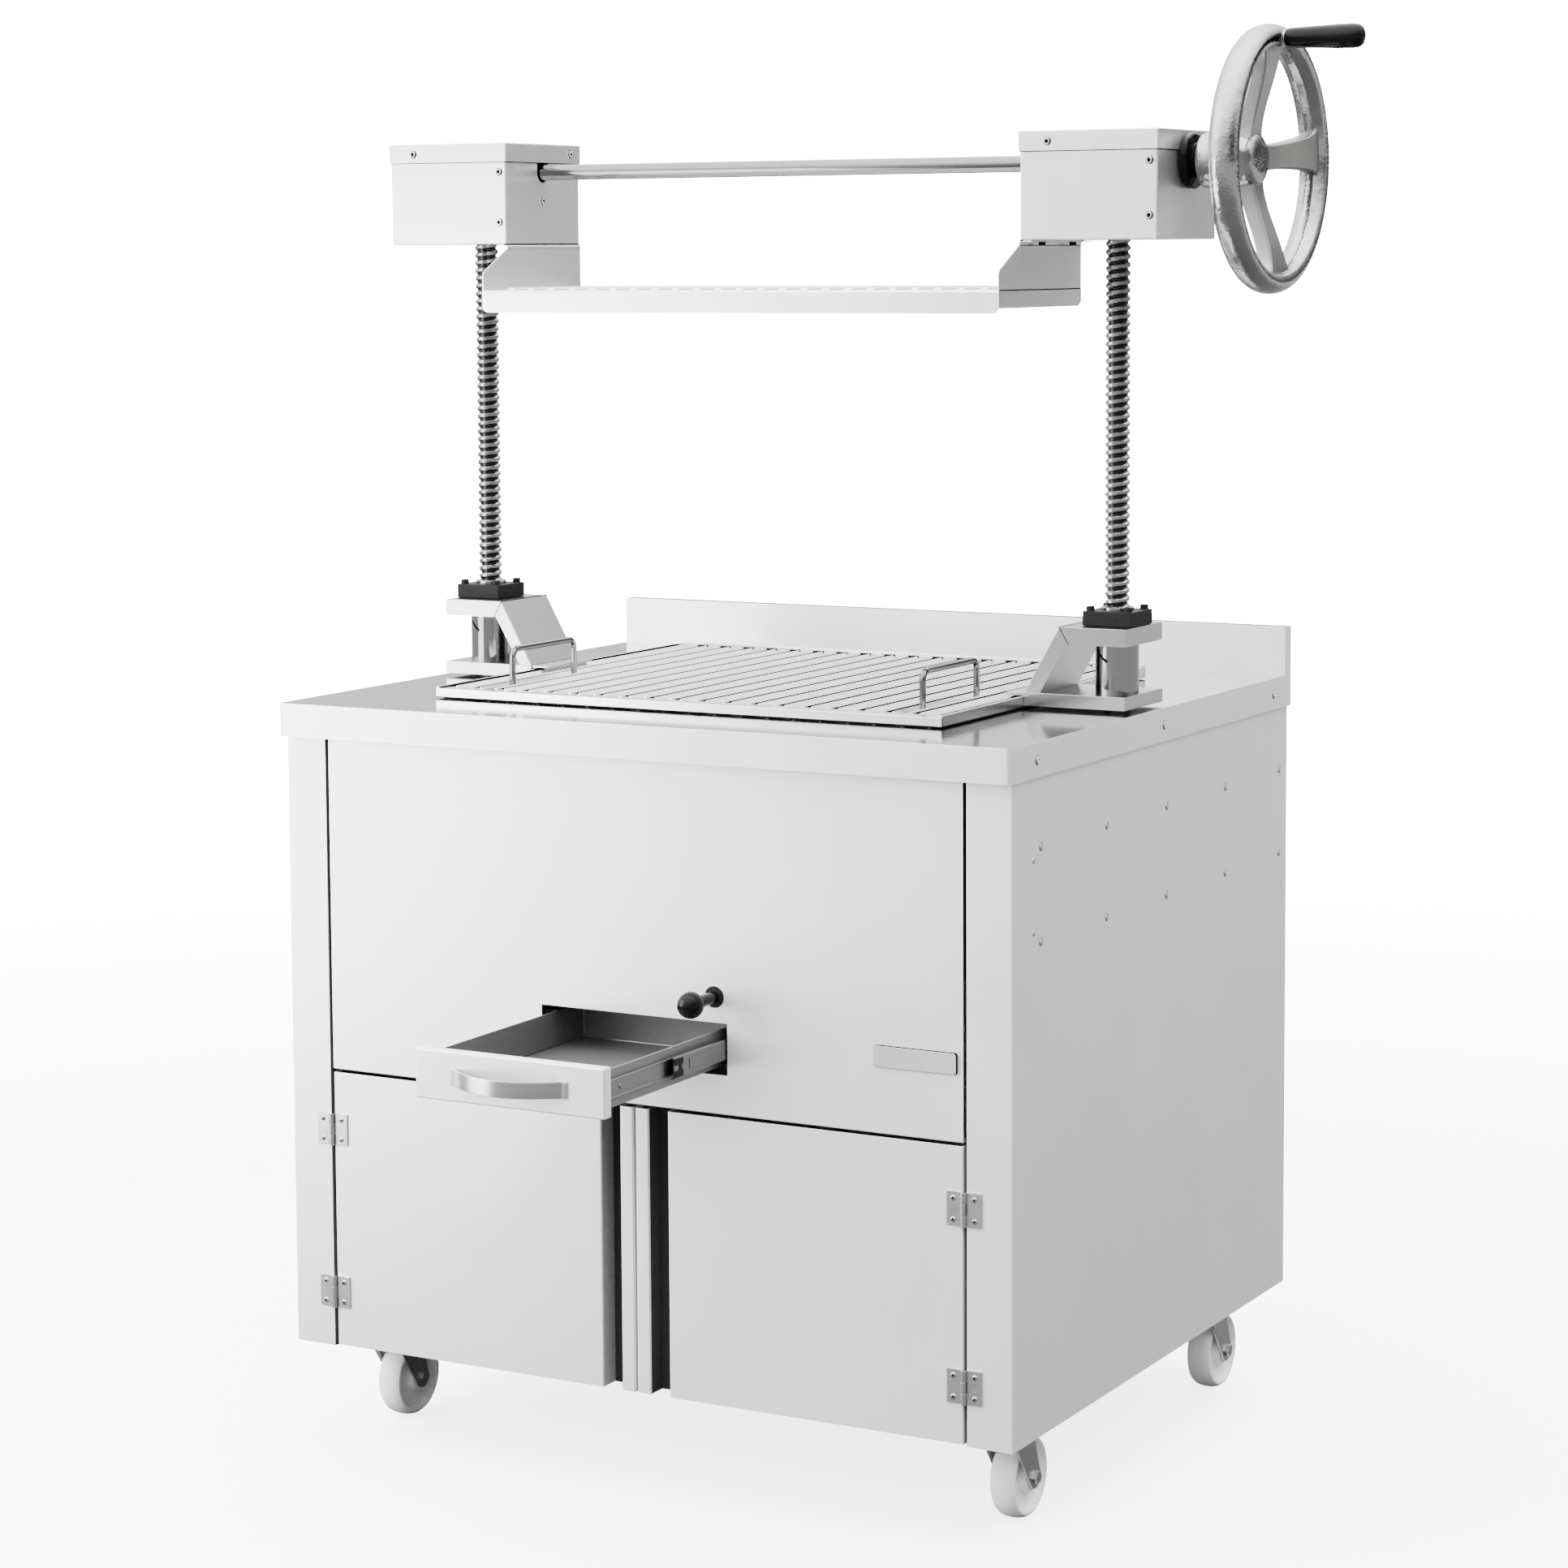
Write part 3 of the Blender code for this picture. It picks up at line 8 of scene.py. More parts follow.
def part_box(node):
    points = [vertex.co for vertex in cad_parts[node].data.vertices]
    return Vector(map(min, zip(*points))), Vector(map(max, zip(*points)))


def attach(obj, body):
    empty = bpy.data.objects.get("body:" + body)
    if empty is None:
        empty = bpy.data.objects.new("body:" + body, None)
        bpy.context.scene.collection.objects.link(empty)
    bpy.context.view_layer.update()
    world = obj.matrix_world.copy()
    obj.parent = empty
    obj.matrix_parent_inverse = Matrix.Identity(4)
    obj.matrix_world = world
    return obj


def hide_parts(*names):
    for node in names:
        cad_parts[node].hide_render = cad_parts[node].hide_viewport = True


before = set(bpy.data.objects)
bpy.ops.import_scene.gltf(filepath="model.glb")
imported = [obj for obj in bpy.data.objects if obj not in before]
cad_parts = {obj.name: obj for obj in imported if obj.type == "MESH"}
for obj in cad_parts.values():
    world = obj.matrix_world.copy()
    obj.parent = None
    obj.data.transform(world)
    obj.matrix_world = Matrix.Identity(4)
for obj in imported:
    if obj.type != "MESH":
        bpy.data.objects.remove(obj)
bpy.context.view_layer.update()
print("frame loaded")

sides = (("left", -1), ("right", 1))
castorNames = ("front_left", "front_right", "back_left", "back_right")
photoSize = 1932


# mesh tools
def mergeInto(bm, part, place=None):
    if place is not None:
        bmesh.ops.transform(part, matrix=place, verts=part.verts)
    mesh = bpy.data.meshes.new("part")
    part.to_mesh(mesh)
    part.free()
    bm.from_mesh(mesh)
    bpy.data.meshes.remove(mesh)


def standing(at, axis):  # local Z stands on the axis
    turn = Vector((0, 0, 1)).rotation_difference(Vector(axis)).to_matrix().to_4x4()
    return Matrix.Translation(at) @ turn


def bevelEdges(bm, edges, offset, segments=2):
    bmesh.ops.bevel(bm, geom=edges, offset=offset, affect="EDGES", segments=segments, profile=0.5,
                    material=-1, clamp_overlap=True)


def addBlock(bm, low, high, rounding=0.0, segments=2, place=None):
    part = bmesh.new()
    bmesh.ops.create_cube(part, size=1.0)
    for vert in part.verts:
        vert.co = [max(a, b) if c > 0 else min(a, b) for a, b, c in zip(low, high, vert.co)]
    if rounding:
        bevelEdges(part, part.edges[:], rounding, segments)
    mergeInto(bm, part, place)


def addTurned(bm, profile, at, axis, steps=32, closed=False):
    part = bmesh.new()
    verts = [part.verts.new((radius, 0, along)) for radius, along in profile]
    edges = [part.edges.new(pair) for pair in zip(verts, verts[1:])]
    if closed:
        edges.append(part.edges.new((verts[-1], verts[0])))
    bmesh.ops.spin(part, geom=verts + edges, cent=(0, 0, 0), axis=(0, 0, 1), dvec=(0, 0, 0),
                   angle=math.tau, steps=steps, use_merge=True)
    bmesh.ops.remove_doubles(part, verts=part.verts, dist=1e-6)
    bmesh.ops.recalc_face_normals(part, faces=part.faces)
    mergeInto(bm, part, standing(at, axis))


def roundedPath(points, radius, steps=5):
    points = [Vector(point) for point in points]
    path = [points[0]]
    for before, corner, after in zip(points, points[1:], points[2:]):
        back = (before - corner).normalized()
        ahead = (after - corner).normalized()
        half = back.angle(ahead) / 2
        centre = corner + (back + ahead).normalized() * radius / math.sin(half)
        start = corner + back * radius / math.tan(half) - centre
        end = corner + ahead * radius / math.tan(half) - centre
        sweep = start.rotation_difference(end)
        path += [centre + Quaternion().slerp(sweep, step / steps) @ start for step in range(steps + 1)]
    return path + [points[-1]]


def addTube(bm, points, radius, resolution=3):
    curve = bpy.data.curves.new("tube", "CURVE")
    curve.dimensions = "3D"
    curve.bevel_depth = radius
    curve.bevel_resolution = resolution
    curve.use_fill_caps = True
    spline = curve.splines.new("POLY")
    spline.points.add(len(points) - 1)
    for point, place in zip(spline.points, points):
        point.co = (*place, 1)
    carrier = bpy.data.objects.new("tube", curve)
    bpy.context.scene.collection.objects.link(carrier)
    depsgraph = bpy.context.evaluated_depsgraph_get()
    mesh = bpy.data.meshes.new_from_object(carrier.evaluated_get(depsgraph))
    bpy.data.objects.remove(carrier)
    bpy.data.curves.remove(curve)
    part = bmesh.new()
    part.from_mesh(mesh)
    bpy.data.meshes.remove(mesh)
    bmesh.ops.remove_doubles(part, verts=part.verts, dist=1e-6)
    mergeInto(bm, part)


planes = {"XY": (0, 1, 2), "XZ": (0, 2, 1), "YZ": (1, 2, 0)}


def addSheet(bm, path, thickness, plane, span, bend=0.0022):  # metal on the left of the path
    path = roundedPath([(u, v, 0) for u, v in path], bend)
    part = bmesh.new()
    rows = []
    for index, point in enumerate(path):
        along = path[min(index + 1, len(path) - 1)] - path[max(index - 1, 0)]
        left = Vector((-along.y, along.x, 0)).normalized()
        rows.append((part.verts.new(point), part.verts.new(point + left * thickness)))
    faces = [part.faces.new((a[0], b[0], b[1], a[1])) for a, b in zip(rows, rows[1:])]
    grown = bmesh.ops.extrude_face_region(part, geom=faces)
    lifted = [item for item in grown["geom"] if isinstance(item, bmesh.types.BMVert)]
    bmesh.ops.translate(part, vec=(0, 0, span[1] - span[0]), verts=lifted)
    for vert in part.verts:
        place = [0, 0, 0]
        for axis, value in zip(planes[plane], (vert.co.x, vert.co.y, vert.co.z + span[0])):
            place[axis] = value
        vert.co = place
    bmesh.ops.recalc_face_normals(part, faces=part.faces)
    mergeInto(bm, part)


def addSoftened(bm, node, edge=0.0004, bend=0.0, segments=2):  # a copy of the solid with its folds and rims eased
    part = bmesh.new()
    part.from_mesh(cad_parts[node].data)
    bmesh.ops.remove_doubles(part, verts=part.verts, dist=2e-6)
    bmesh.ops.dissolve_limit(part, angle_limit=math.radians(1), verts=part.verts, edges=part.edges)

    def corners(limit):
        return [e for e in part.edges if len(e.link_faces) == 2 and e.calc_face_angle() > limit]

    def wide(face):
        return face.calc_area() / face.calc_perimeter() > 0.0016

    if bend:
        folds = [e for e in corners(0.5) if e.is_convex and all(wide(face) for face in e.link_faces)]
        bevelEdges(part, folds, bend, 4)
    bevelEdges(part, corners(0.6), edge, segments)
    mergeInto(bm, part)


def finishPiece(bm, name, body, finish, stands=(), smooth=35, under=None):
    bmesh.ops.remove_doubles(bm, verts=bm.verts, dist=1e-6)
    bmesh.ops.recalc_face_normals(bm, faces=bm.faces)
    mesh = bpy.data.meshes.new(name)
    bm.to_mesh(mesh)
    bm.free()
    mesh.shade_smooth()
    mesh.set_sharp_from_angle(angle=math.radians(smooth))
    mesh.materials.append(finish)
    if under is not None:
        mesh.materials.append(under)
    piece = bpy.data.objects.new(name, mesh)
    flat = piece.modifiers.new("flatFaces", "WEIGHTED_NORMAL")  # wide faces stay flat beside eased edges
    flat.keep_sharp = True
    bpy.context.scene.collection.objects.link(piece)
    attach(piece, body)
    if stands:
        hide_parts(*stands)
    return piece


# finishes
def reckon(tree, operation, *values):
    node = tree.nodes.new("ShaderNodeMath")
    node.operation = operation
    for socket, value in zip(node.inputs, values):
        if isinstance(value, bpy.types.NodeSocket):
            tree.links.new(value, socket)
        else:
            socket.default_value = value
    return node.outputs[0]


def grainGroup():
    group = bpy.data.node_groups.new("metalGrain", "ShaderNodeTree")
    sockets = (("Color", "INPUT", "NodeSocketColor"), ("Stretch", "INPUT", "NodeSocketVector"),
               ("Rough", "INPUT", "NodeSocketFloat"), ("Spread", "INPUT", "NodeSocketFloat"),
               ("Blotch", "INPUT", "NodeSocketFloat"), ("Color", "OUTPUT", "NodeSocketColor"),
               ("Roughness", "OUTPUT", "NodeSocketFloat"), ("Height", "OUTPUT", "NodeSocketFloat"))
    for name, way, kind in sockets:
        group.interface.new_socket(name=name, in_out=way, socket_type=kind)
    nodes, links = group.nodes, group.links
    entry = nodes.new("NodeGroupInput")
    leave = nodes.new("NodeGroupOutput")
    coords = nodes.new("ShaderNodeTexCoord")
    stretch = nodes.new("ShaderNodeVectorMath")
    stretch.operation = "MULTIPLY"
    links.new(coords.outputs["Object"], stretch.inputs[0])
    links.new(entry.outputs["Stretch"], stretch.inputs[1])
    streaks = nodes.new("ShaderNodeTexNoise")
    streaks.inputs["Scale"].default_value = 1.0
    streaks.inputs["Detail"].default_value = 5.0
    streaks.inputs["Roughness"].default_value = 0.62
    links.new(stretch.outputs[0], streaks.inputs["Vector"])
    cloud = nodes.new("ShaderNodeTexNoise")  # handling marks and rolling shade
    cloud.inputs["Scale"].default_value = 5.5
    cloud.inputs["Detail"].default_value = 4.0
    links.new(coords.outputs["Object"], cloud.inputs["Vector"])
    both = nodes.new("ShaderNodeMath")
    both.operation = "ADD"
    links.new(streaks.outputs["Fac"], both.inputs[0])
    links.new(cloud.outputs["Fac"], both.inputs[1])
    centred = nodes.new("ShaderNodeMath")
    centred.operation = "SUBTRACT"
    centred.inputs[1].default_value = 1.0
    links.new(both.outputs[0], centred.inputs[0])
    rough = nodes.new("ShaderNodeMath")
    rough.operation = "MULTIPLY_ADD"
    links.new(centred.outputs[0], rough.inputs[0])
    links.new(entry.outputs["Spread"], rough.inputs[1])
    links.new(entry.outputs["Rough"], rough.inputs[2])
    tone = nodes.new("ShaderNodeMath")
    tone.operation = "MULTIPLY_ADD"
    tone.inputs[2].default_value = 1.0
    links.new(centred.outputs[0], tone.inputs[0])
    links.new(entry.outputs["Blotch"], tone.inputs[1])
    shade = nodes.new("ShaderNodeVectorMath")
    shade.operation = "SCALE"
    links.new(entry.outputs["Color"], shade.inputs[0])
    links.new(tone.outputs[0], shade.inputs["Scale"])
    links.new(shade.outputs[0], leave.inputs["Color"])
    links.new(rough.outputs[0], leave.inputs["Roughness"])
    links.new(streaks.outputs["Fac"], leave.inputs["Height"])
    return group


metalGrain = grainGroup()


def grained(name, color, rough, spread=0.1, blotch=0.12, stretch=(420, 420, 5), metallic=1.0, bump=0.05,
            depth=0.0004, gloss=0.5):
    finish = bpy.data.materials.new(name)
    finish.use_nodes = True
    nodes, links = finish.node_tree.nodes, finish.node_tree.links
    shader = nodes["Principled BSDF"]
    grain = nodes.new("ShaderNodeGroup")
    grain.node_tree = metalGrain
    grain.inputs["Color"].default_value = (*color, 1)
    grain.inputs["Stretch"].default_value = stretch
    grain.inputs["Rough"].default_value = rough
    grain.inputs["Spread"].default_value = spread
    grain.inputs["Blotch"].default_value = blotch
    relief = nodes.new("ShaderNodeBump")
    relief.inputs["Strength"].default_value = bump
    relief.inputs["Distance"].default_value = depth
    links.new(grain.outputs["Color"], shader.inputs["Base Color"])
    links.new(grain.outputs["Roughness"], shader.inputs["Roughness"])
    links.new(grain.outputs["Height"], relief.inputs["Height"])
    links.new(relief.outputs["Normal"], shader.inputs["Normal"])
    shader.inputs["Metallic"].default_value = metallic
    shader.inputs["Specular IOR Level"].default_value = gloss
    return finish


def paintGrooveShade(finish, axisX, axisY, root, crest):  # painted shade: the bottom of both threads is darkened where the grooves lie in shade
    tree = finish.node_tree
    split = tree.nodes.new("ShaderNodeSeparateXYZ")
    tree.links.new(tree.nodes.new("ShaderNodeTexCoord").outputs["Object"], split.inputs[0])
    across = reckon(tree, "SUBTRACT", reckon(tree, "ABSOLUTE", split.outputs["X"]), axisX)
    deep = reckon(tree, "SUBTRACT", split.outputs["Y"], axisY)
    squares = reckon(tree, "ADD", reckon(tree, "MULTIPLY", across, across), reckon(tree, "MULTIPLY", deep, deep))
    litShare = tree.nodes.new("ShaderNodeMapRange")
    for socket, value in (("From Min", root), ("From Max", crest), ("To Min", 0.10), ("To Max", 1.0)):
        litShare.inputs[socket].default_value = value
    tree.links.new(reckon(tree, "SQRT", squares), litShare.inputs["Value"])
    shade = tree.nodes.new("ShaderNodeVectorMath")
    shade.operation = "SCALE"
    tree.links.new(tree.nodes["Group"].outputs["Color"], shade.inputs[0])
    tree.links.new(litShare.outputs["Result"], shade.inputs["Scale"])
    tree.links.new(shade.outputs[0], tree.nodes["Principled BSDF"].inputs["Base Color"])


steelUpright = grained("steelUpright", (0.76, 0.76, 0.755), 0.42, metallic=0.55)
steelAcross = grained("steelAcross", (0.77, 0.77, 0.765), 0.38, stretch=(5, 420, 420), metallic=0.6)
steelTop = grained("steelTop", (0.51, 0.51, 0.505), 0.11, 0.06, stretch=(5, 420, 420))
steelHead = grained("steelHead", (0.76, 0.76, 0.755), 0.34, stretch=(420, 420, 6), metallic=0.9)
steelBadge = grained("steelBadge", (0.72, 0.72, 0.715), 0.30, stretch=(5, 420, 420), metallic=0.8)
steelPull = grained("steelPull", (0.46, 0.46, 0.455), 0.26, 0.05, 0.06, (5, 5, 260), bump=0.02)
steelDeepways = grained("steelDeepways", (0.40, 0.40, 0.395), 0.20, stretch=(420, 5, 420))
steelBright = grained("steelBright", (0.66, 0.66, 0.65), 0.16, 0.08, 0.1, (300, 6, 300))
grateSteel = grained("grateSteel", (0.66, 0.66, 0.65), 0.24, 0.1, 0.1, (300, 6, 300))
wheelPolish = grained("wheelPolish", (0.30, 0.30, 0.295), 0.13, 0.1, 0.3, (34, 34, 34), bump=0.6, depth=0.003)
wheelCast = grained("wheelCast", (0.30, 0.30, 0.295), 0.34, 0.16, 0.22, (240, 240, 240), bump=0.25)
threadSteel = grained("threadSteel", (0.25, 0.25, 0.245), 0.20, 0.12, 0.2, (160, 160, 260), bump=0.06)
shaftSteel = grained("shaftSteel", (0.15, 0.15, 0.147), 0.13, 0.1, 0.12, (5, 320, 320))
tubeSteel = grained("tubeSteel", (0.20, 0.20, 0.197), 0.10, 0.08, 0.2, (9, 9, 240))
zincPlate = grained("zincPlate", (0.48, 0.485, 0.49), 0.30, 0.14, 0.25, (160, 160, 160), bump=0.1)
railZinc = grained("railZinc", (0.17, 0.172, 0.175), 0.30, 0.14, 0.18, (90, 8, 90), bump=0.06)
# painted shade: the tray's zinc is darkened to stand for the shade inside the drawer
trayZincPaintedShade = grained("trayZincPaintedShade", (0.15, 0.15, 0.15), 0.40, 0.12, 0.15, (260, 8, 260), 0.6, 0.05)
firedSteel = grained("firedSteel", (0.085, 0.078, 0.072), 0.62, 0.2, 0.5, (70, 70, 70), 0.7, 0.3)
gearSteel = grained("gearSteel", (0.34, 0.34, 0.345), 0.36, 0.12, 0.2, (150, 150, 150), bump=0.08)
blackIron = grained("blackIron", (0.012, 0.012, 0.013), 0.48, 0.18, 0.5, (520, 520, 520), 0.0, 0.35, gloss=0.05)
blackGloss = grained("blackGloss", (0.004, 0.004, 0.0045), 0.09, 0.05, 0.3, (260, 260, 260), 0.0, 0.02, gloss=0.10)
# painted shade: a near-black finish put in slots, gaps, seams and undersides, and round heads as shadow rings
paintedShade = grained("paintedShade", (0.006, 0.0055, 0.005), 0.75, 0.1, 0.5, (90, 90, 90), 0.0, 0.2, gloss=0.02)
# painted shade: a dark finish for the door pull channels, stile edges, shadow rings round rivets and lines on the
# bracket arms
paintedRecessShade = grained("paintedRecessShade", (0.035, 0.035, 0.035), 0.5, 0.1, 0.4, (300, 300, 6), 0.3, 0.05, gloss=0.05)
nylon = grained("nylon", (0.92, 0.92, 0.91), 0.40, 0.12, 0.06, (120, 120, 120), 0.0, 0.08)
# painted shade in the roots of the lifting screw threads
paintGrooveShade(threadSteel, 0.450, -0.020, 0.0124, 0.0143)
print("finishes made")

# folded sheet, castings and blocks that keep their solid's shape with eased edges
easedSheets = {
    "left_side_panel": ("cabinet", steelUpright, 0.0024), "right_side_panel": ("cabinet", steelUpright, 0.0024),
    "back_panel": ("cabinet", steelUpright, 0.0), "base_plate": ("cabinet", steelAcross, 0.0),
    "front_panel": ("cabinet", steelUpright, 0.0014), "worktop": ("cabinet", steelTop, 0.0028),
    "left_door": ("left_door_body", steelUpright, 0.0022), "right_door": ("right_door_body", steelUpright, 0.0022),
    "drawer_front": ("drawer", steelAcross, 0.0020),
    "left_gear_housing": ("cabinet", steelHead, 0.0018), "right_gear_housing": ("cabinet", steelHead, 0.0018),
    "left_housing_lid": ("cabinet", steelHead, 0.0018), "right_housing_lid": ("cabinet", steelHead, 0.0018),
    "left_lift_bracket": ("carriage", steelDeepways, 0.0018),
    "right_lift_bracket": ("carriage", steelDeepways, 0.0018),
}
shadeDetail = {"front": -0.409, "near": 0.018, "middle": 0.032, "far": 0.046, "stile": 0.441, "back": -0.38, "tube": 0.0272}
for node, (body, finish, bend) in easedSheets.items():
    bm = bmesh.new()
    addSoftened(bm, node, 0.00035, bend)
    second = {"left_door": paintedRecessShade, "right_door": paintedRecessShade, "left_side_panel": paintedRecessShade, "right_side_panel": paintedRecessShade,
              "worktop": steelAcross, "left_lift_bracket": tubeSteel, "right_lift_bracket": tubeSteel}.get(node)  # pull channels and stile edges lie in shade, skirts are brushed
    for face in bm.faces if second else ():
        middle, normal = face.calc_center_median(), face.normal
        away = abs(middle.x)
        if node == "worktop":
            face.material_index = int(abs(normal.z) < 0.7)
        elif node.endswith("bracket"):
            away = math.hypot(away - 0.450, middle.y + 0.020)
            face.material_index = int(abs(normal.z) < 0.1 and away < shadeDetail["tube"])
        elif node.endswith("door"):
            wall = middle.x * normal.x * (1 if away < shadeDetail["middle"] else -1) > 0.004  # faces into the channel
            inside = middle.y > shadeDetail["front"] and shadeDetail["near"] < away < shadeDetail["far"]
            face.material_index = int(inside and (wall or normal.y < -0.5))
        else:
            face.material_index = int(middle.x * normal.x < -0.2 and away < shadeDetail["stile"] and
                                      middle.y < shadeDetail["back"])
    finishPiece(bm, f"{node}_sheet", body, finish, (node,), under=second)
easedBlocks = {
    "left_lift_nut": ("carriage", blackIron, "black_steel", 0.0012),
    "right_lift_nut": ("carriage", blackIron, "black_steel", 0.0012),
    "left_foot_bearing": ("cabinet", blackIron, "black_steel", 0.0012),
    "right_foot_bearing": ("cabinet", blackIron, "black_steel", 0.0012),
}
for node, (body, finish, slot, edge) in easedBlocks.items():
    bm = bmesh.new()
    addSoftened(bm, node, edge)
    finishPiece(bm, f"{node}_block", body, finish, (node,))
print("sheet metal eased")

# solids that stay as they are, with their finishes
keptNodes = {
    "firebox": firedSteel, "charcoal_grate": firedSteel, "drawer_carrier": railZinc, "left_outer_rail": railZinc,
    "right_outer_rail": railZinc, "damper_plate": shaftSteel, "left_shaft_gear": gearSteel,
    "right_shaft_gear": gearSteel,
}
for node, finish in keptNodes.items():
    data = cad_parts[node].data
    data.materials.clear()
    data.materials.append(finish)


# small fasteners
def addRivet(bm, at, axis, radius, height):
    dome = [(radius * math.sin(a), height * math.cos(a)) for a in [math.radians(15 * i) for i in range(7)]]
    addTurned(bm, dome + [(radius, -height / 2), (0, -height / 2)], at, axis, 16)


def addCapScrew(bm, at, axis, radius, height, socket=0.55):
    ease = radius * 0.14
    profile = [(0, height * 0.35), (radius * socket * 0.9, height * 0.35), (radius * socket, height - ease / 2),
               (radius * socket + ease / 2, height), (radius - ease, height), (radius, height - ease),
               (radius, -height / 2), (0, -height / 2)]
    addTurned(bm, profile, at, axis, 18)


def addCrossScrew(bm, at, axis, radius):  # flat countersunk head with a cross recess
    part = bmesh.new()
    height = radius * 0.34
    profile = [(0, height), (radius * 0.62, height), (radius * 0.9, height * 0.7), (radius, height * 0.2),
               (radius, -height), (0, -height)]
    verts = [part.verts.new((r, 0, z)) for r, z in profile]
    edges = [part.edges.new(pair) for pair in zip(verts, verts[1:])]
    bmesh.ops.spin(part, geom=verts + edges, cent=(0, 0, 0), axis=(0, 0, 1), dvec=(0, 0, 0), angle=math.tau,
                   steps=16, use_merge=True)
    bmesh.ops.remove_doubles(part, verts=part.verts, dist=1e-6)
    mergeInto(bm, part, standing(at, axis))


def addCross(bm, at, axis, radius):  # painted shade: the cross hollow is drawn as two dark bars just proud of the head
    for turn in (20, 110):
        place = standing(at, axis) @ Matrix.Rotation(math.radians(turn), 4, "Z")
        top = radius * 0.34
        addBlock(bm, (-radius * 0.66, -radius * 0.20, top * 0.5), (radius * 0.66, radius * 0.20, top * 1.08),
                 place=place)


def addShadowRing(bm, at, axis, radius):  # painted shadow: a dark ring round a head where it sits on the surface
    addTurned(bm, [(0, -0.0002), (radius * 1.22, -0.0002), (radius * 1.22, 0.0002), (0, 0.0002)], at, axis, 18)


# cabinet rivets, badge plate and worktop details
cabinetDetail = {"rivet": 0.0040, "rivetHeight": 0.0013, "skirtScrew": 0.0046, "sideX": 0.497, "skirtX": 0.500,
                 "upperRow": 0.811, "lowerRow": 0.702, "rowY": (-0.338, -0.155, 0.023, 0.210, 0.393),
                 "skirtY": (-0.354, 0.008, 0.365), "skirtZ": 0.912}
for name, side in sides:
    bm = bmesh.new()
    for y in cabinetDetail["rowY"]:
        for z in (cabinetDetail["upperRow"], cabinetDetail["lowerRow"]):
            addRivet(bm, (side * cabinetDetail["sideX"], y, z), (side, 0, 0), cabinetDetail["rivet"],
                     cabinetDetail["rivetHeight"])
    for z in (cabinetDetail["upperRow"] - 0.013, cabinetDetail["lowerRow"] + 0.013):
        addRivet(bm, (side * cabinetDetail["sideX"], cabinetDetail["rowY"][0] - 0.019, z), (side, 0, 0),
                 cabinetDetail["rivet"], cabinetDetail["rivetHeight"])
    for y in cabinetDetail["skirtY"]:
        addCapScrew(bm, (side * cabinetDetail["skirtX"], y, cabinetDetail["skirtZ"]), (side, 0, 0),
                    cabinetDetail["skirtScrew"], 0.0018, 0.35)
    finishPiece(bm, f"{name}_cabinet_rivets", "cabinet", steelBright)
    # painted shadow: dark rings round the rivets and skirt screws
    bm = bmesh.new()
    for y in cabinetDetail["rowY"]:
        for z in (cabinetDetail["upperRow"], cabinetDetail["lowerRow"]):
            addShadowRing(bm, (side * cabinetDetail["sideX"], y, z), (side, 0, 0), cabinetDetail["rivet"])
    for y in cabinetDetail["skirtY"]:
        addShadowRing(bm, (side * cabinetDetail["skirtX"], y, cabinetDetail["skirtZ"]), (side, 0, 0), cabinetDetail["skirtScrew"])
    finishPiece(bm, f"{name}_cabinet_shadow_rings", "cabinet", paintedRecessShade)
badgeDetail = {"low": (0.322, 0.556), "high": (0.428, 0.581), "panel": -0.4117, "seat": -0.4157, "face": -0.4162,
               "corner": 0.0032, "inset": 0.0004, "rim": 0.0003}


def addBadge(bm, inset, front, back):  # a plate across Y with rounded corners and an eased front rim
    part = bmesh.new()
    (left, bottom), (right, top) = badgeDetail["low"], badgeDetail["high"]
    addBlock(part, (left + inset, front, bottom + inset), (right - inset, back, top - inset))
    corners = [e for e in part.edges if abs(e.verts[0].co.y - e.verts[1].co.y) > 1e-5]
    bevelEdges(part, corners, badgeDetail["corner"], 5)
    bevelEdges(part, [e for e in part.edges if all(abs(v.co.y - front) < 1e-6 for v in e.verts)], badgeDetail["rim"])
    mergeInto(bm, part)


# painted shadow: a dark plate behind the badge shows as a dark border round it
bm = bmesh.new()
addBadge(bm, 0.0, badgeDetail["seat"], badgeDetail["panel"])
finishPiece(bm, "badge_shadow_plate", "cabinet", paintedShade)
bm = bmesh.new()
addBadge(bm, badgeDetail["inset"], badgeDetail["face"], badgeDetail["seat"] + badgeDetail["rim"])
finishPiece(bm, "bare_badge_plate", "cabinet", steelBadge)
print("cabinet detailed")

# door hinges
hingeDetail = {"edge": 0.0005, "screw": 0.0034, "inset": 0.0085, "rise": 0.0125}
for name, side in sides:
    for level in ("upper", "lower"):
        for leaf, body in (("frame", "cabinet"), ("door", f"{name}_door_body")):
            node = f"{name}_{level}_{leaf}_leaf"
            low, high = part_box(node)
            way = side if leaf == "frame" else -side
            bm = bmesh.new()
            addSoftened(bm, node, hingeDetail["edge"])
            outer = high[0] if way > 0 else low[0]
            middle = (low[2] + high[2]) / 2
            spots = [(outer - way * hingeDetail["inset"], -0.4141, middle + rise)
                     for rise in (-hingeDetail["rise"], hingeDetail["rise"])]
            for spot in spots:
                addCrossScrew(bm, spot, (0, -1, 0), hingeDetail["screw"])
            finishPiece(bm, f"{node}_plate", body, zincPlate, (node,))
            # painted shade: dark cross bars stand for the shaded cross hollows of the hinge screws
            bm = bmesh.new()
            for spot in spots:
                addCross(bm, spot, (0, -1, 0), hingeDetail["screw"])
            finishPiece(bm, f"{node}_cross_shade", body, blackIron)
print("hinges done")

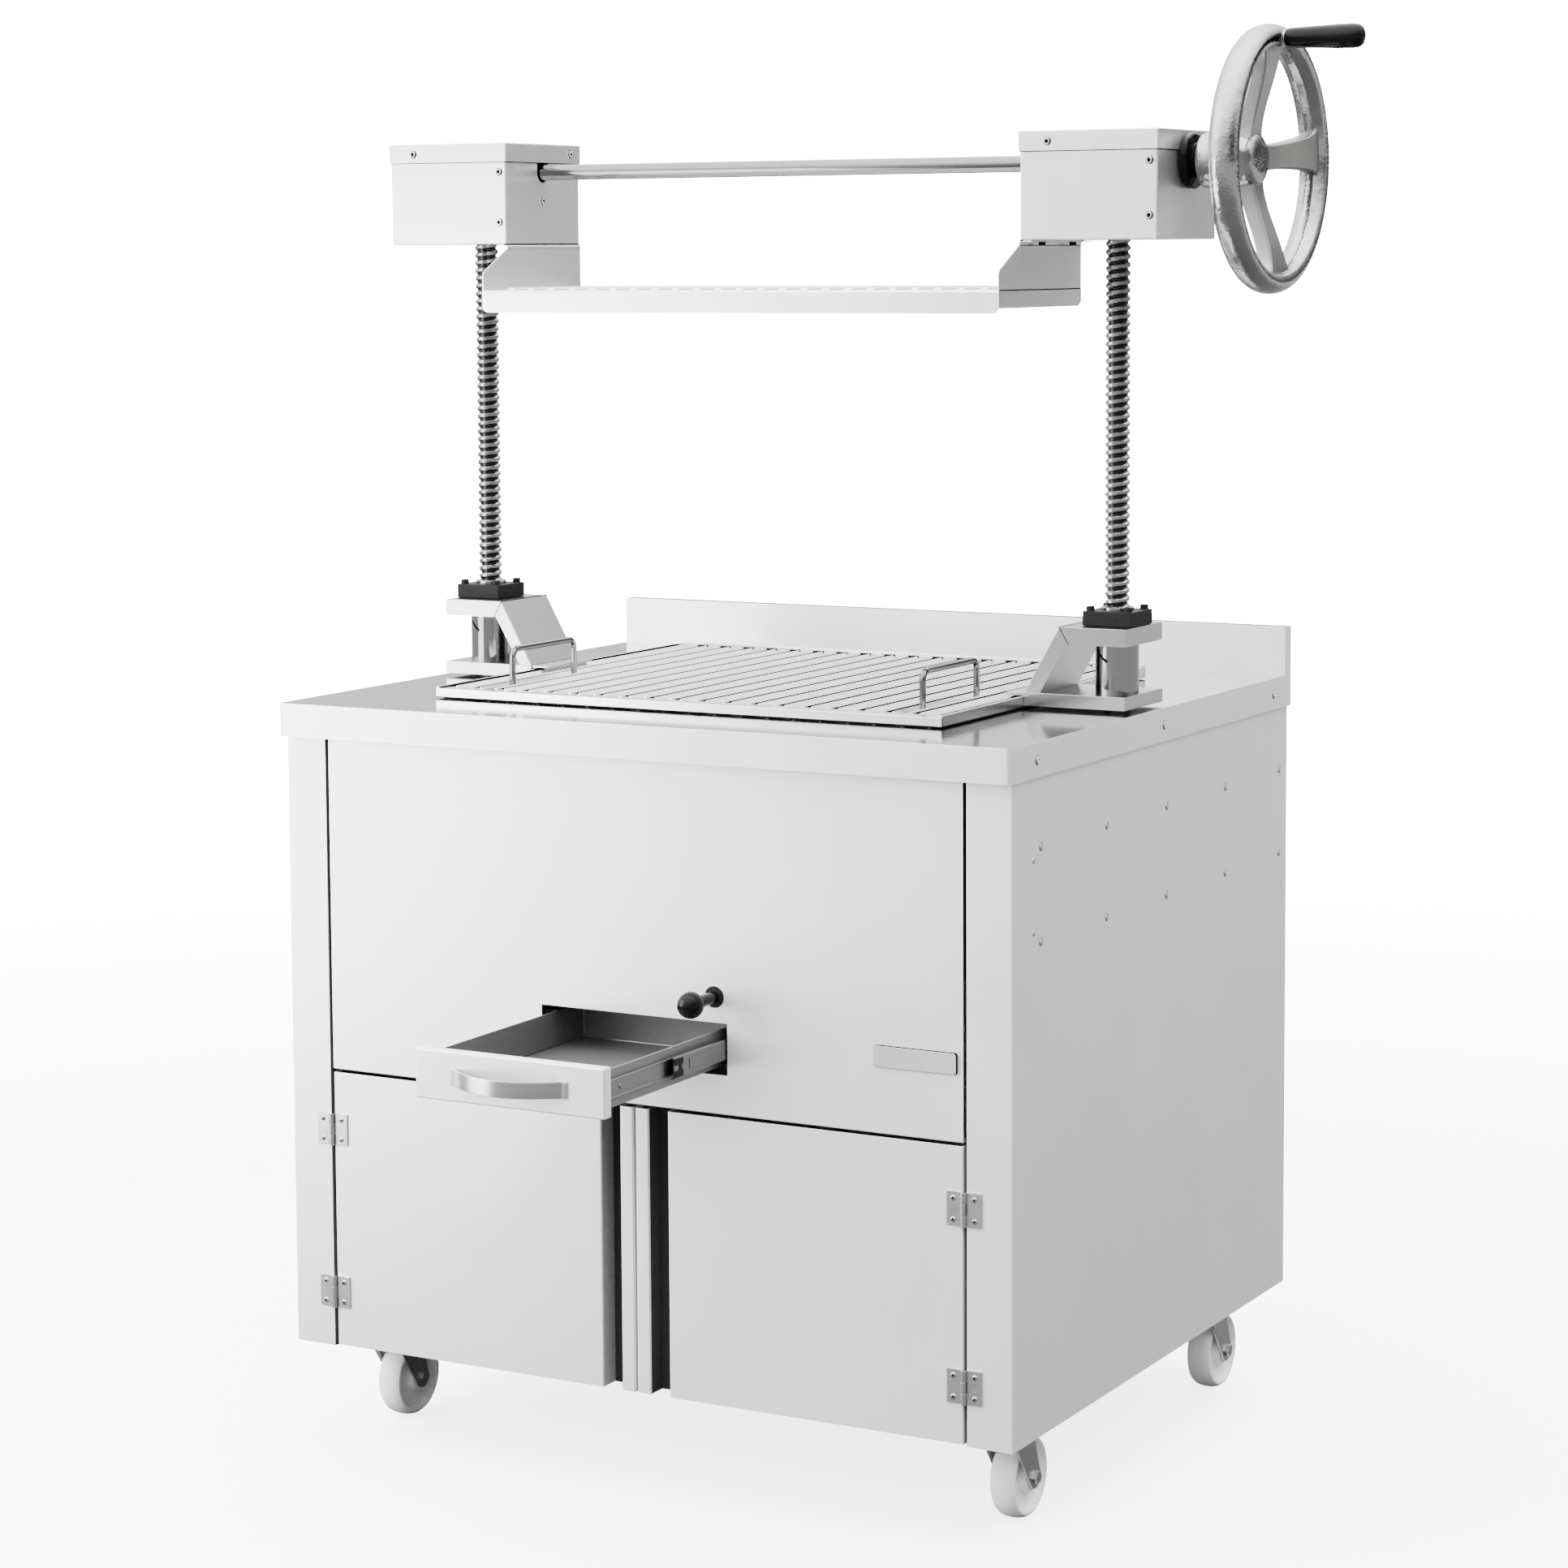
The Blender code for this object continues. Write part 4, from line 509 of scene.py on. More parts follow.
# ash drawer: tray with seam beads, two slides with a catch each
slideDetail = {"wall": 0.0015, "middle": 0.5558, "inner": 0.0100, "outer": 0.0125, "lip": 0.0022, "bend": 0.0016,
               "bead": 0.0009, "screw": 0.0034, "catch": 0.020, "proud": 0.0030, "roll": 0.0013,
               "sunk": 0.0011}
d = slideDetail
low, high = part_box("drawer_box")
railLow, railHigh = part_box("right_middle_rail")
trayHalf = 0.1157
bm = bmesh.new()
part = bmesh.new()
bmesh.ops.create_cube(part, size=1.0)
for vert in part.verts:
    vert.co = (math.copysign(trayHalf, vert.co.x), high[1] if vert.co.y > 0 else low[1],
               high[2] if vert.co.z > 0 else low[2])
bmesh.ops.delete(part, geom=[face for face in part.faces if face.normal.z > 0.5], context="FACES_ONLY")
bmesh.ops.solidify(part, geom=part.faces[:], thickness=d["wall"])
mergeInto(bm, part)
finishPiece(bm, "ash_tray", "drawer", trayZincPaintedShade, ("drawer_box",))
bm = bmesh.new()
for _, side in sides:  # the inner rail is a raised strip between two rolled edges
    front, back = low[1] + 0.014, high[1] - 0.004
    addBlock(bm, (side * (trayHalf - 0.0004), front, d["middle"] - d["inner"]),
             (side * (trayHalf + d["proud"]), back, d["middle"] + d["inner"]), 0.0010)
    for rise in (-d["inner"], d["inner"]):
        addTube(bm, [(side * (trayHalf + d["proud"]), front + 0.001, d["middle"] + rise),
                     (side * (trayHalf + d["proud"]), back - 0.001, d["middle"] + rise)], d["roll"], 3)
    addRivet(bm, (side * (trayHalf + d["proud"]), low[1] + 0.044, d["middle"]), (side, 0, 0), d["screw"], 0.0014)
finishPiece(bm, "ash_tray_rails", "drawer", railZinc)
bm = bmesh.new()
inX, inFront, inBack, inLow = trayHalf - d["wall"], low[1] + d["wall"], high[1] - d["wall"], low[2] + d["wall"]
for a, b in (((-inX, inFront, inLow), (-inX, inBack, inLow)), ((-inX, inBack, inLow), (inX, inBack, inLow)),
             ((inX, inBack, inLow), (inX, inFront, inLow)), ((-inX, inBack, inLow), (-inX, inBack, high[2] - 0.001)),
             ((inX, inBack, inLow), (inX, inBack, high[2] - 0.001))):
    addTube(bm, [a, b], d["bead"], 2)
finishPiece(bm, "ash_tray_seams", "drawer", railZinc)
for name, side in sides:
    bm = bmesh.new()
    rail = bmesh.new()
    web = railHigh[0] - d["sunk"]
    addSheet(rail, [(railLow[0] + 0.004, d["middle"] - d["outer"]), (web, d["middle"] - d["outer"]),
                    (web, d["middle"] + d["outer"]), (railLow[0] + 0.004, d["middle"] + d["outer"])], 0.0013, "XZ",
             (railLow[1], railHigh[1]), d["bend"])
    addBlock(rail, (web - 0.0008, railLow[1] + 0.034, d["middle"] - 0.0062),
             (railHigh[0] - 0.0002, railLow[1] + 0.104, d["middle"] + 0.0062), 0.0006)
    mergeInto(bm, rail, Matrix.Scale(side, 4, (1, 0, 0)))
    finishPiece(bm, f"{name}_middle_slide", "drawer_rails", railZinc, (f"{name}_middle_rail",))
    bm = bmesh.new()
    hook = bmesh.new()
    for rise in (-1, 1):  # the catch is a bent lever with two ears
        addBlock(hook, (web - 0.0024, railLow[1] + 0.0006, d["middle"] + rise * 0.0030),
                 (railHigh[0] - 0.0001, railLow[1] + d["catch"], d["middle"] + rise * 0.0112), 0.0010)
    addBlock(hook, (web - 0.0024, railLow[1] + d["catch"] * 0.5, d["middle"] - 0.0060),
             (railHigh[0] - 0.0003, railLow[1] + d["catch"] * 0.85, d["middle"] + 0.0060), 0.0008)
    mergeInto(bm, hook, Matrix.Scale(side, 4, (1, 0, 0)))
    finishPiece(bm, f"{name}_slide_catch", "drawer_rails", blackIron)
print("tray and slides done")

# drawer handle and damper knob
drawerDetail = {"strip": 0.0025, "foot": 0.006, "width": 0.156, "reach": 0.030, "edge": 0.0008}
low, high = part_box("drawer_handle")
bm = bmesh.new()
half = drawerDetail["width"] / 2
span = half - drawerDetail["foot"]
seat = high[1] - drawerDetail["strip"]
part = bmesh.new()
path = [(-half, seat)] + [(i / 16 * span, seat - drawerDetail["reach"] * (1 - (i / 16) ** 2)) for i in range(-16, 17)]
path += [(half, seat)]
rows = []
for index, point in enumerate(path):
    along = Vector(path[min(index + 1, len(path) - 1)]) - Vector(path[max(index - 1, 0)])
    inward = Vector((-along.y, along.x)).normalized() * drawerDetail["strip"]
    rows.append((part.verts.new((*point, low[2])), part.verts.new((*(Vector(point) + inward), low[2]))))
faces = [part.faces.new((a[0], b[0], b[1], a[1])) for a, b in zip(rows, rows[1:])]
grown = bmesh.ops.extrude_face_region(part, geom=faces)
bmesh.ops.translate(part, vec=(0, 0, high[2] - low[2]),
                    verts=[item for item in grown["geom"] if isinstance(item, bmesh.types.BMVert)])
bmesh.ops.recalc_face_normals(part, faces=part.faces)
bevelEdges(part, [e for e in part.edges if e.calc_face_angle(0) > 1.2], drawerDetail["edge"], 2)
mergeInto(bm, part)
finishPiece(bm, "drawer_bow_handle", "drawer", steelPull, ("drawer_handle",))

low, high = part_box("damper_knob")
centre = [(a + b) / 2 for a, b in zip(low, high)]
radius = (high[0] - low[0]) / 2
ball = [(radius * math.sin(a), radius * math.cos(a)) for a in [math.radians(7.5 * i) for i in range(20)]]
bm = bmesh.new()
addTurned(bm, ball + [(radius * 0.60, -radius * 0.86), (radius * 0.60, -radius), (0.0054, -radius),
                      (0.0054, -radius * 0.5), (0, -radius * 0.5)], centre, (0, -1, 0), 36)
finishPiece(bm, "damper_ball", "damper", blackGloss, ("damper_knob",))
stemDetail = {"radius": 0.0072, "end": -0.4142, "ring": 0.0092, "holeShade": 0.0130, "bore": 0.0058}
bm = bmesh.new()
base = centre[1] + radius * 0.98
addTurned(bm, [(0.0053, 0), (stemDetail["ring"], 0), (stemDetail["ring"], 0.0030), (stemDetail["radius"], 0.0036),
               (stemDetail["radius"], stemDetail["end"] - base), (0.0053, stemDetail["end"] - base)],
          (centre[0], base, centre[2]), (0, 1, 0), 28, closed=True)
finishPiece(bm, "damper_stem", "damper", blackGloss)
# painted shade: a dark ring round the stem stands for the shaded hole in the panel
bm = bmesh.new()
addTurned(bm, [(stemDetail["bore"], 0.0002), (stemDetail["holeShade"], 0.0002), (stemDetail["holeShade"] - 0.0004, -0.0009),
               (stemDetail["bore"], -0.0013)], (centre[0], -0.412, centre[2]), (0, 1, 0), 28, closed=True)
finishPiece(bm, "damper_hole_shade", "cabinet", blackIron)
print("drawer and damper done")

# lifting screws: a coarse rounded thread between two collars
threadDetail = {"pitch": 0.010, "steps": 20, "root": 0.0123, "crest": 0.0150, "low": 0.940, "high": 1.4955}
for name, side in sides:
    node = f"{name}_screw"
    low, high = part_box(node)
    at = (side * 0.450, -0.020)
    part = bmesh.new()
    pitch, root, crest = threadDetail["pitch"], threadDetail["root"], threadDetail["crest"]
    rise = [(root, 0), (root, 0.16), (root + 0.0009, 0.26), (crest - 0.0007, 0.36), (crest, 0.44), (crest, 0.72),
            (crest - 0.0007, 0.80), (root + 0.0009, 0.90), (root, 1)]
    verts = [part.verts.new((r, 0, z * pitch)) for r, z in rise]
    edges = [part.edges.new(pair) for pair in zip(verts, verts[1:])]
    turns = round((threadDetail["high"] - threadDetail["low"]) / pitch)
    for turn in range(turns):  # one turn at a time, each starting where the last ended
        made = bmesh.ops.spin(part, geom=verts + edges, cent=(0, 0, 0), axis=(0, 0, 1),
                              dvec=(0, 0, pitch / threadDetail["steps"]), angle=math.tau,
                              steps=threadDetail["steps"], use_merge=False)
        verts = [item for item in made["geom_last"] if isinstance(item, bmesh.types.BMVert)]
        edges = [item for item in made["geom_last"] if isinstance(item, bmesh.types.BMEdge)]
    bmesh.ops.remove_doubles(part, verts=part.verts, dist=1e-5)
    bmesh.ops.holes_fill(part, edges=[e for e in part.edges if e.is_boundary], sides=0)
    bmesh.ops.recalc_face_normals(part, faces=part.faces)
    bm = bmesh.new()
    mergeInto(bm, part, Matrix.Translation((*at, threadDetail["low"])))
    core = [(0, low[2]), (0.0085, low[2]), (0.010, low[2] + 0.0015), (0.010, 0.931), (0.0155, 0.931),
            (0.016, 0.9315), (0.016, 0.9435), (0.0155, 0.944), (0.011, 0.944), (0.011, 1.4957), (0.010, 1.4957), (0.010, 1.546), (0.016, 1.546),
            (0.016, 1.559), (0, 1.559)]
    addTurned(bm, core, (*at, 0), (0, 0, 1), 32)
    gear = bmesh.new()
    made = bmesh.ops.create_circle(gear, cap_ends=True, segments=64, radius=0.030)
    reach = ((0.86, -0.27), (1.11, -0.11), (1.11, 0.11), (0.86, 0.27))
    for index, vert in enumerate(made["verts"]):
        share = reach[index % 4]
        angle = math.tau / 16 * (index // 4 + share[1] + 0.5)
        vert.co = (0.030 * share[0] * math.cos(angle), -0.030 * share[0] * math.sin(angle), -0.030)
    grown = bmesh.ops.extrude_face_region(gear, geom=gear.faces[:])
    bmesh.ops.scale(gear, vec=(2 / 3, 2 / 3, 2 / 3),
                    verts=[item for item in grown["geom"] if isinstance(item, bmesh.types.BMVert)])
    bmesh.ops.recalc_face_normals(gear, faces=gear.faces)
    mergeInto(bm, gear, Matrix.Translation((*at, 1.588)))
    finishPiece(bm, f"{name}_threaded_column", f"{name}_screw_body", threadSteel, (node,), 40)
print("screws done")

# nuts: corner bolts, a bright ring round the screw and a grub screw
nutDetail = {"bolt": 0.0052, "height": 0.0055, "inset": 0.0245, "ringIn": 0.0158, "ringOut": 0.0200, "grub": 0.0032}
for name, side in sides:
    low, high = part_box(f"{name}_lift_nut")
    at = (side * 0.450, -0.020)
    bm = bmesh.new()
    for dx in (-1, 1):
        for dy in (-1, 1):
            spot = (at[0] + dx * nutDetail["inset"], at[1] + dy * nutDetail["inset"], high[2])
            addCapScrew(bm, spot, (0, 0, 1), nutDetail["bolt"], nutDetail["height"])
    addCapScrew(bm, (at[0] + side * 0.012, low[1], (low[2] + high[2]) / 2), (0, -1, 0), nutDetail["grub"], 0.0006, 0.7)
    finishPiece(bm, f"{name}_nut_bolts", "carriage", blackIron)
    bm = bmesh.new()
    ring = [(nutDetail["ringIn"], -0.001), (nutDetail["ringIn"], 0.0034), (nutDetail["ringIn"] + 0.0008, 0.0042),
            (nutDetail["ringOut"] - 0.0008, 0.0042), (nutDetail["ringOut"], 0.0034), (nutDetail["ringOut"], -0.001)]
    addTurned(bm, ring, (*at, high[2]), (0, 0, 1), 32, closed=True)
    finishPiece(bm, f"{name}_nut_ring", "carriage", threadSteel)
mitreDetail = {"outer": (0.398, 1.034), "inner": (0.4103, 1.013), "front": -0.075, "back": 0.035, "line": 0.0007}
for name, side in sides:  # painted shade: a dark line over the top and down both cheeks of each arm
    d = mitreDetail
    over, under = ((side * x, z) for x, z in (d["outer"], d["inner"]))
    path = [(under[0], d["front"], under[1]), (over[0], d["front"], over[1]), (over[0], d["back"], over[1]),
            (under[0], d["back"], under[1])]
    bm = bmesh.new()
    for ends in zip(path, path[1:]):
        addTube(bm, ends, d["line"], 2)
    finishPiece(bm, f"{name}_bracket_edge_shade", "carriage", paintedRecessShade)
# painted shade: the slanted slot in each tube is drawn as a dark strip on its surface
slotDetail = {"radius": 0.0265, "width": 0.0040, "sink": 0.0036, "low": 0.991, "high": 1.005, "start": 225, "end": 266}
for name, side in sides:
    d = slotDetail
    bm = bmesh.new()
    path = []
    for step in range(7):
        angle = math.radians(d["start"] + (d["end"] - d["start"]) * step / 6)
        path.append((side * 0.450 + (d["radius"] - d["sink"]) * math.cos(angle),
                     -0.020 + (d["radius"] - d["sink"]) * math.sin(angle),
                     d["high"] + (d["low"] - d["high"]) * step / 6))
    addTube(bm, path, d["width"], 4)
    finishPiece(bm, f"{name}_tube_slot_shade", "carriage", paintedShade)
print("nuts done")

# gear heads: cap screws on the bodies and lids
headDetail = {"screw": 0.0042, "height": 0.0024, "seam": 0.0004}
for name, side in sides:
    low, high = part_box(f"{name}_gear_housing")
    lidLow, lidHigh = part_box(f"{name}_housing_lid")
    inner, lidInner = (low[0], lidLow[0]) if side > 0 else (high[0], lidHigh[0])
    spots = [((inner, -0.020, low[2] + 0.056), (-side, 0, 0)), ((lidInner, 0.045, lidLow[2] + 0.012), (-side, 0, 0))]
    for y, lidY, way in ((low[1], lidLow[1], -1), (high[1], lidHigh[1], 1)):
        spots += [((high[0] - 0.010, y, low[2] + rise), (0, way, 0)) for rise in (0.028, 0.092)]
        spots.append(((low[0] + 0.036, lidY, lidLow[2] + 0.011), (0, way, 0)))
    # painted shadow: dark rings round the screw heads, dark discs in their sockets, and thin dark lines under the lid's
    # edge and along the head's bottom
    heads, headShadows = bmesh.new(), bmesh.new()
    for at, axis in spots:
        addCapScrew(heads, at, axis, headDetail["screw"], headDetail["height"])
        addShadowRing(headShadows, at, axis, headDetail["screw"])
        addShadowRing(headShadows, Vector(at) + Vector(axis) * headDetail["height"] * 0.4, axis, headDetail["screw"] * 0.4)
    seam = headDetail["seam"]
    addBlock(headShadows, (low[0] - seam, low[1] - seam, lidLow[2] - 0.0011), (high[0] + seam, high[1] + seam, lidLow[2] + 0.0004))
    addBlock(headShadows, (inner - side * seam, low[1], low[2] - 0.0013), (inner + side * 0.004, high[1], low[2] + 0.0006))
    finishPiece(heads, f"{name}_head_screws", "cabinet", steelBright)
    finishPiece(headShadows, f"{name}_head_shadows", "cabinet", paintedShade)
print("gear heads done")

# cross shaft, its black bearing, handwheel and grip
wheelDetail = {"axis": (-0.020, 1.588), "radius": 0.157, "rim": 0.0140, "depth": 0.0180, "rimX": 0.643, "hub": 0.033,
               "spokes": 4, "turn": 5.0, "narrow": 0.0125, "wide": 0.0225, "thick": 0.0200, "fillet": 0.010, "edge": 0.0028}
axisY, axisZ = wheelDetail["axis"]
low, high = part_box("drive_shaft")
bm = bmesh.new()
addTurned(bm, [(0, 0), (0.009, 0), (0.010, 0.001), (0.010, high[0] - low[0] - 0.001),
               (0.009, high[0] - low[0]), (0, high[0] - low[0])], (low[0], axisY, axisZ), (1, 0, 0), 32)
finishPiece(bm, "cross_shaft", "drive", shaftSteel, ("drive_shaft",))

low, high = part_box("shaft_bearing")
bm = bmesh.new()
length = high[0] - low[0]
addTurned(bm, [(0.0104, 0), (0.0127, 0), (0.0127, 0.0038), (0.0315, 0.0038), (0.033, 0.0053), (0.033, 0.0118),
               (0.0315, 0.0134), (0.0215, 0.0140), (0.0200, 0.0152), (0.0200, length - 0.0006), (0.0194, length),
               (0.0104, length)], (low[0], axisY, axisZ), (1, 0, 0), 48, closed=True)
finishPiece(bm, "black_shaft_bearing", "cabinet", blackGloss, ("shaft_bearing",))

hubLow = high[0] + 0.002
hubEnd = hubLow + 0.072
bm = bmesh.new()
rimRadius = wheelDetail["radius"] - wheelDetail["rim"]
rim = wheelDetail["rim"]
depth = wheelDetail["depth"]
section = [(rimRadius + rim * math.cos(a), depth * math.sin(a)) for a in [math.radians(12 * i) for i in range(-8, 9)]]
inside = ((-0.46, 0.92), (-0.58, 0.84), (-0.92, 0.34), (-0.97, 0.20))  # a creased flat towards the hub
section += [(rimRadius + rim * r, depth * x) for r, x in inside]
section += [(rimRadius + rim * r, -depth * x) for r, x in inside[::-1]]
addTurned(bm, section, (wheelDetail["rimX"], axisY, axisZ), (1, 0, 0), 96, closed=True)
hub = [(0.0103, 0), (0.029, 0), (0.031, 0.0012), (0.0325, 0.003), (0.033, 0.006), (0.033, 0.030), (0.0318, 0.033),
       (0.0318, 0.036), (0.033, 0.039), (0.033, 0.062), (0.031, 0.068), (0.026, 0.0715), (0.015, 0.072), (0, 0.072),
       (0, 0.0605), (0.0103, 0.0605)]
addTurned(bm, hub, (hubLow, axisY, axisZ), (1, 0, 0), 64)
gripLow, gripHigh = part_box("handwheel_grip")
seat = gripLow[0] - wheelDetail["rimX"] - 0.0003  # the ferrule ends where the grip starts
pinEnd = gripHigh[0] - 0.0143 - wheelDetail["rimX"]
addTurned(bm, [(0, 0), (0.0098, 0), (0.0098, seat - 0.001), (0.0090, seat), (0.005, seat), (0.005, pinEnd), (0, pinEnd)],
          (wheelDetail["rimX"], axisY, axisZ + 0.140), (1, 0, 0), 28)
finishPiece(bm, "handwheel_rim_and_hub", "drive", wheelPolish, ("handwheel",), 40)

bm = bmesh.new()
for index in range(wheelDetail["spokes"]):
    part = bmesh.new()
    bmesh.ops.create_cube(part, size=1.0)
    lengthwise = [e for e in part.edges if abs(e.verts[0].co.z - e.verts[1].co.z) > 0.5]
    bmesh.ops.subdivide_edges(part, edges=lengthwise, cuts=13, use_grid_fill=True)
    for vert in part.verts:
        share = vert.co.z + 0.5
        flare = wheelDetail["narrow"] + (wheelDetail["wide"] - wheelDetail["narrow"]) * share ** 1.4
        flare += wheelDetail["fillet"] * (share ** 9 + 0.6 * (1 - share) ** 7)
        lean = (1 - math.cos(math.pi * share)) / 2
        front = (hubEnd - 0.004) * (1 - lean) + (wheelDetail["rimX"] + 0.0095) * lean
        depth = 0 if vert.co.x > 0 else wheelDetail["thick"] * (1.05 - 0.15 * share)
        vert.co = (front - depth, vert.co.y * 2 * flare, 0.016 + (rimRadius - 0.004 - 0.016) * share)
    long = [e for e in part.edges if abs(e.verts[0].co.z - e.verts[1].co.z) > 0.001 and e.calc_face_angle(0) > 0.8]
    bevelEdges(part, long, wheelDetail["edge"], 3)
    turn = Matrix.Rotation(math.radians(wheelDetail["turn"] + 360 * index / wheelDetail["spokes"]), 4, "X")
    mergeInto(bm, part, Matrix.Translation((0, axisY, axisZ)) @ turn)
finishPiece(bm, "handwheel_spokes", "drive", wheelCast, (), 40)

bm = bmesh.new()
addCapScrew(bm, (hubLow + 0.027, axisY, axisZ + wheelDetail["hub"] - 0.0003), (0, 0, 1), 0.0036, 0.0007, 0.7)
finishPiece(bm, "hub_set_screw", "drive", blackIron)

low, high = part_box("handwheel_grip")
length = high[0] - low[0]
grip = [(0, length), (0.006, length - 0.0006), (0.0105, length - 0.0026), (0.0133, length - 0.0066),
        (0.0143, length - 0.013), (0.0141, length - 0.030), (0.0131, length * 0.45), (0.0120, 0.012), (0.0115, 0.004),
        (0.0104, 0.0008), (0.0090, 0), (0.0054, 0), (0.0054, length - 0.0137), (0, length - 0.0137)]
bm = bmesh.new()
addTurned(bm, grip, (low[0], axisY, axisZ + 0.140), (1, 0, 0), 40)
finishPiece(bm, "turning_grip", "grip", blackGloss, ("handwheel_grip",))
print("handwheel done")

# warming shelf with pressed ribs
shelfDetail = {"top": 1.438, "x": 0.3617, "front": -0.166, "back": 0.068, "sheet": 0.0015, "bend": 0.0035,
               "lip": 0.028, "skirt": 0.022, "corner": 0.008, "cheekTop": 1.4905, "flangeTop": 1.4942, "flangeX": 0.3767,
               "flangeFront": -0.108, "flangeBack": 0.068, "step": 0.0008, "fold": 0.0022, "nut": 0.0048,
               "ribPitch": 0.0302, "rib": 0.0075, "ribHeight": 0.0042, "ribFront": -0.150, "ribBack": 0.054}


def addPlate(bm, outline, x, thickness, rounded, radius):  # a plate across X with the named corners rounded
    part = bmesh.new()
    face = part.faces.new([part.verts.new((x, y, z)) for y, z in outline])
    grown = bmesh.ops.extrude_face_region(part, geom=[face])
    bmesh.ops.translate(part, vec=(thickness, 0, 0),
                        verts=[item for item in grown["geom"] if isinstance(item, bmesh.types.BMVert)])
    bmesh.ops.recalc_face_normals(part, faces=part.faces)
    spots = [outline[index] for index in rounded]
    corners = [e for e in part.edges if abs(e.verts[0].co.x - e.verts[1].co.x) > 1e-5 and
               any(math.hypot(e.verts[0].co.y - y, e.verts[0].co.z - z) < 1e-5 for y, z in spots)]
    bevelEdges(part, corners, radius, 5)
    mergeInto(bm, part)


d = shelfDetail
bm = bmesh.new()
part = bmesh.new()
addSheet(part, [(d["back"], d["top"] - d["skirt"]), (d["back"], d["top"]), (d["front"], d["top"]),
                (d["front"], d["top"] - d["lip"])], d["sheet"], "YZ", (-d["x"], d["x"]), d["bend"])
ends = [e for e in part.edges if all(abs(abs(v.co.x) - d["x"]) < 1e-5 and v.co.z < d["top"] - d["skirt"] + 1e-4
                                     for v in e.verts) and abs(e.verts[0].co.y - e.verts[1].co.y) > 0.001]
bevelEdges(part, ends, d["corner"], 5)
mergeInto(bm, part)
for _, side in sides:
    half = bmesh.new()
    skirtLow = d["top"] - d["skirt"]
    addPlate(half, [(d["front"] + 0.0008, skirtLow), (d["back"] - 0.0008, skirtLow), (d["back"] - 0.0008, d["top"]),
                    (d["front"] + 0.0008, d["top"])], d["x"] - d["step"], -d["sheet"], (0, 1), d["corner"])
    addPlate(half, [(d["front"] + 0.0008, d["top"] - 0.003), (d["back"] - 0.0008, d["top"] - 0.003),
                    (d["back"] - 0.0008, d["cheekTop"]), (d["flangeFront"], d["cheekTop"]),
                    (d["front"] + 0.0008, d["top"] + 0.022)], d["x"], -d["sheet"], (3, 4), 0.004)
    addSheet(half, [(d["x"], d["cheekTop"] - 0.001), (d["x"], d["flangeTop"]), (d["flangeX"], d["flangeTop"])],
             d["sheet"], "XZ", (d["flangeFront"], d["flangeBack"]), d["fold"])
    mergeInto(bm, half, Matrix.Scale(side, 4, (1, 0, 0)))
finishPiece(bm, "warming_shelf_sheet", "cabinet", steelHead, ("warming_shelf",))
bm = bmesh.new()
for _, side in sides:
    for share in (0.25, 0.75):
        y = d["flangeFront"] + (d["flangeBack"] - d["flangeFront"]) * share
        addTurned(bm, [(0, -0.0042), (d["nut"] - 0.0006, -0.0042), (d["nut"], -0.0036), (d["nut"], 0.0004), (0, 0.0004)],
                  (side * (d["x"] + 0.0085), y, d["flangeTop"]), (0, 0, 1), 6)
finishPiece(bm, "shelf_flange_nuts", "cabinet", blackIron)
bm = bmesh.new()
ribs = int(2 * (d["x"] - 0.02) / d["ribPitch"])
for index in range(ribs + 1):  # a long half-round swelling with rounded ends
    x = (index - ribs / 2) * d["ribPitch"]
    part = bmesh.new()
    bmesh.ops.create_uvsphere(part, u_segments=16, v_segments=8, radius=1.0)
    for vert in part.verts:
        end = d["ribBack"] if vert.co.y > 1e-4 else d["ribFront"] if vert.co.y < -1e-4 else None
        middle = (d["ribFront"] + d["ribBack"]) / 2
        y = middle if end is None else end + (vert.co.y - math.copysign(1, vert.co.y)) * d["rib"]
        vert.co = (x + vert.co.x * d["rib"], y, d["top"] - 0.0004 + vert.co.z * d["ribHeight"])
    low = [v for v in part.verts if v.co.z < d["top"] - 0.001]
    for vert in low:
        vert.co.z = d["top"] - 0.0012
    mergeInto(bm, part)
finishPiece(bm, "warming_shelf_ribs", "cabinet", steelHead)
print("shelf done")

# cooking grate: frame rails, channel bars, gutter and two lifting loops
grateDetail = {"outer": 0.3517, "rail": 0.005, "front": -0.298, "back": 0.292, "low": 0.9345, "frontTop": 0.946,
               "sideTop": 0.948, "backTop": 0.951, "pitch": 0.036, "half": 0.0125, "drop": 0.012, "loop": 0.004,
               "loopX": 0.288, "loopFront": -0.220, "loopBack": -0.075, "crown": 0.990, "slot": 0.009}
g = grateDetail
bm = bmesh.new()
inner = g["outer"] - g["rail"]
addBlock(bm, (-g["outer"], g["front"], g["low"]), (g["outer"], g["front"] + g["rail"], g["frontTop"]), 0.0012)
addBlock(bm, (-g["outer"] + 0.003, g["front"] + 0.003, g["frontTop"] - 0.002),
         (g["outer"] - 0.003, g["front"] + 0.024, g["frontTop"] - 0.0002), 0.0005)
addBlock(bm, (-g["outer"], g["back"] - g["rail"], g["low"]), (g["outer"], g["back"], g["backTop"]), 0.0012)
for _, side in sides:
    addBlock(bm, (side * inner, g["front"] + 0.001, g["low"]), (side * g["outer"], g["back"] - 0.001, g["sideTop"]), 0.0012)
bars = int((inner - g["half"]) / g["pitch"])
for index in range(-bars, bars + 1):
    x = index * g["pitch"]
    addSheet(bm, [(x - g["half"], g["frontTop"]), (x, g["frontTop"] - g["drop"]), (x + g["half"], g["frontTop"])], 0.002,
             "XZ", (g["front"] + 0.022, g["back"] - 0.002), 0.004)
bmesh.ops.recalc_face_normals(bm, faces=bm.faces)
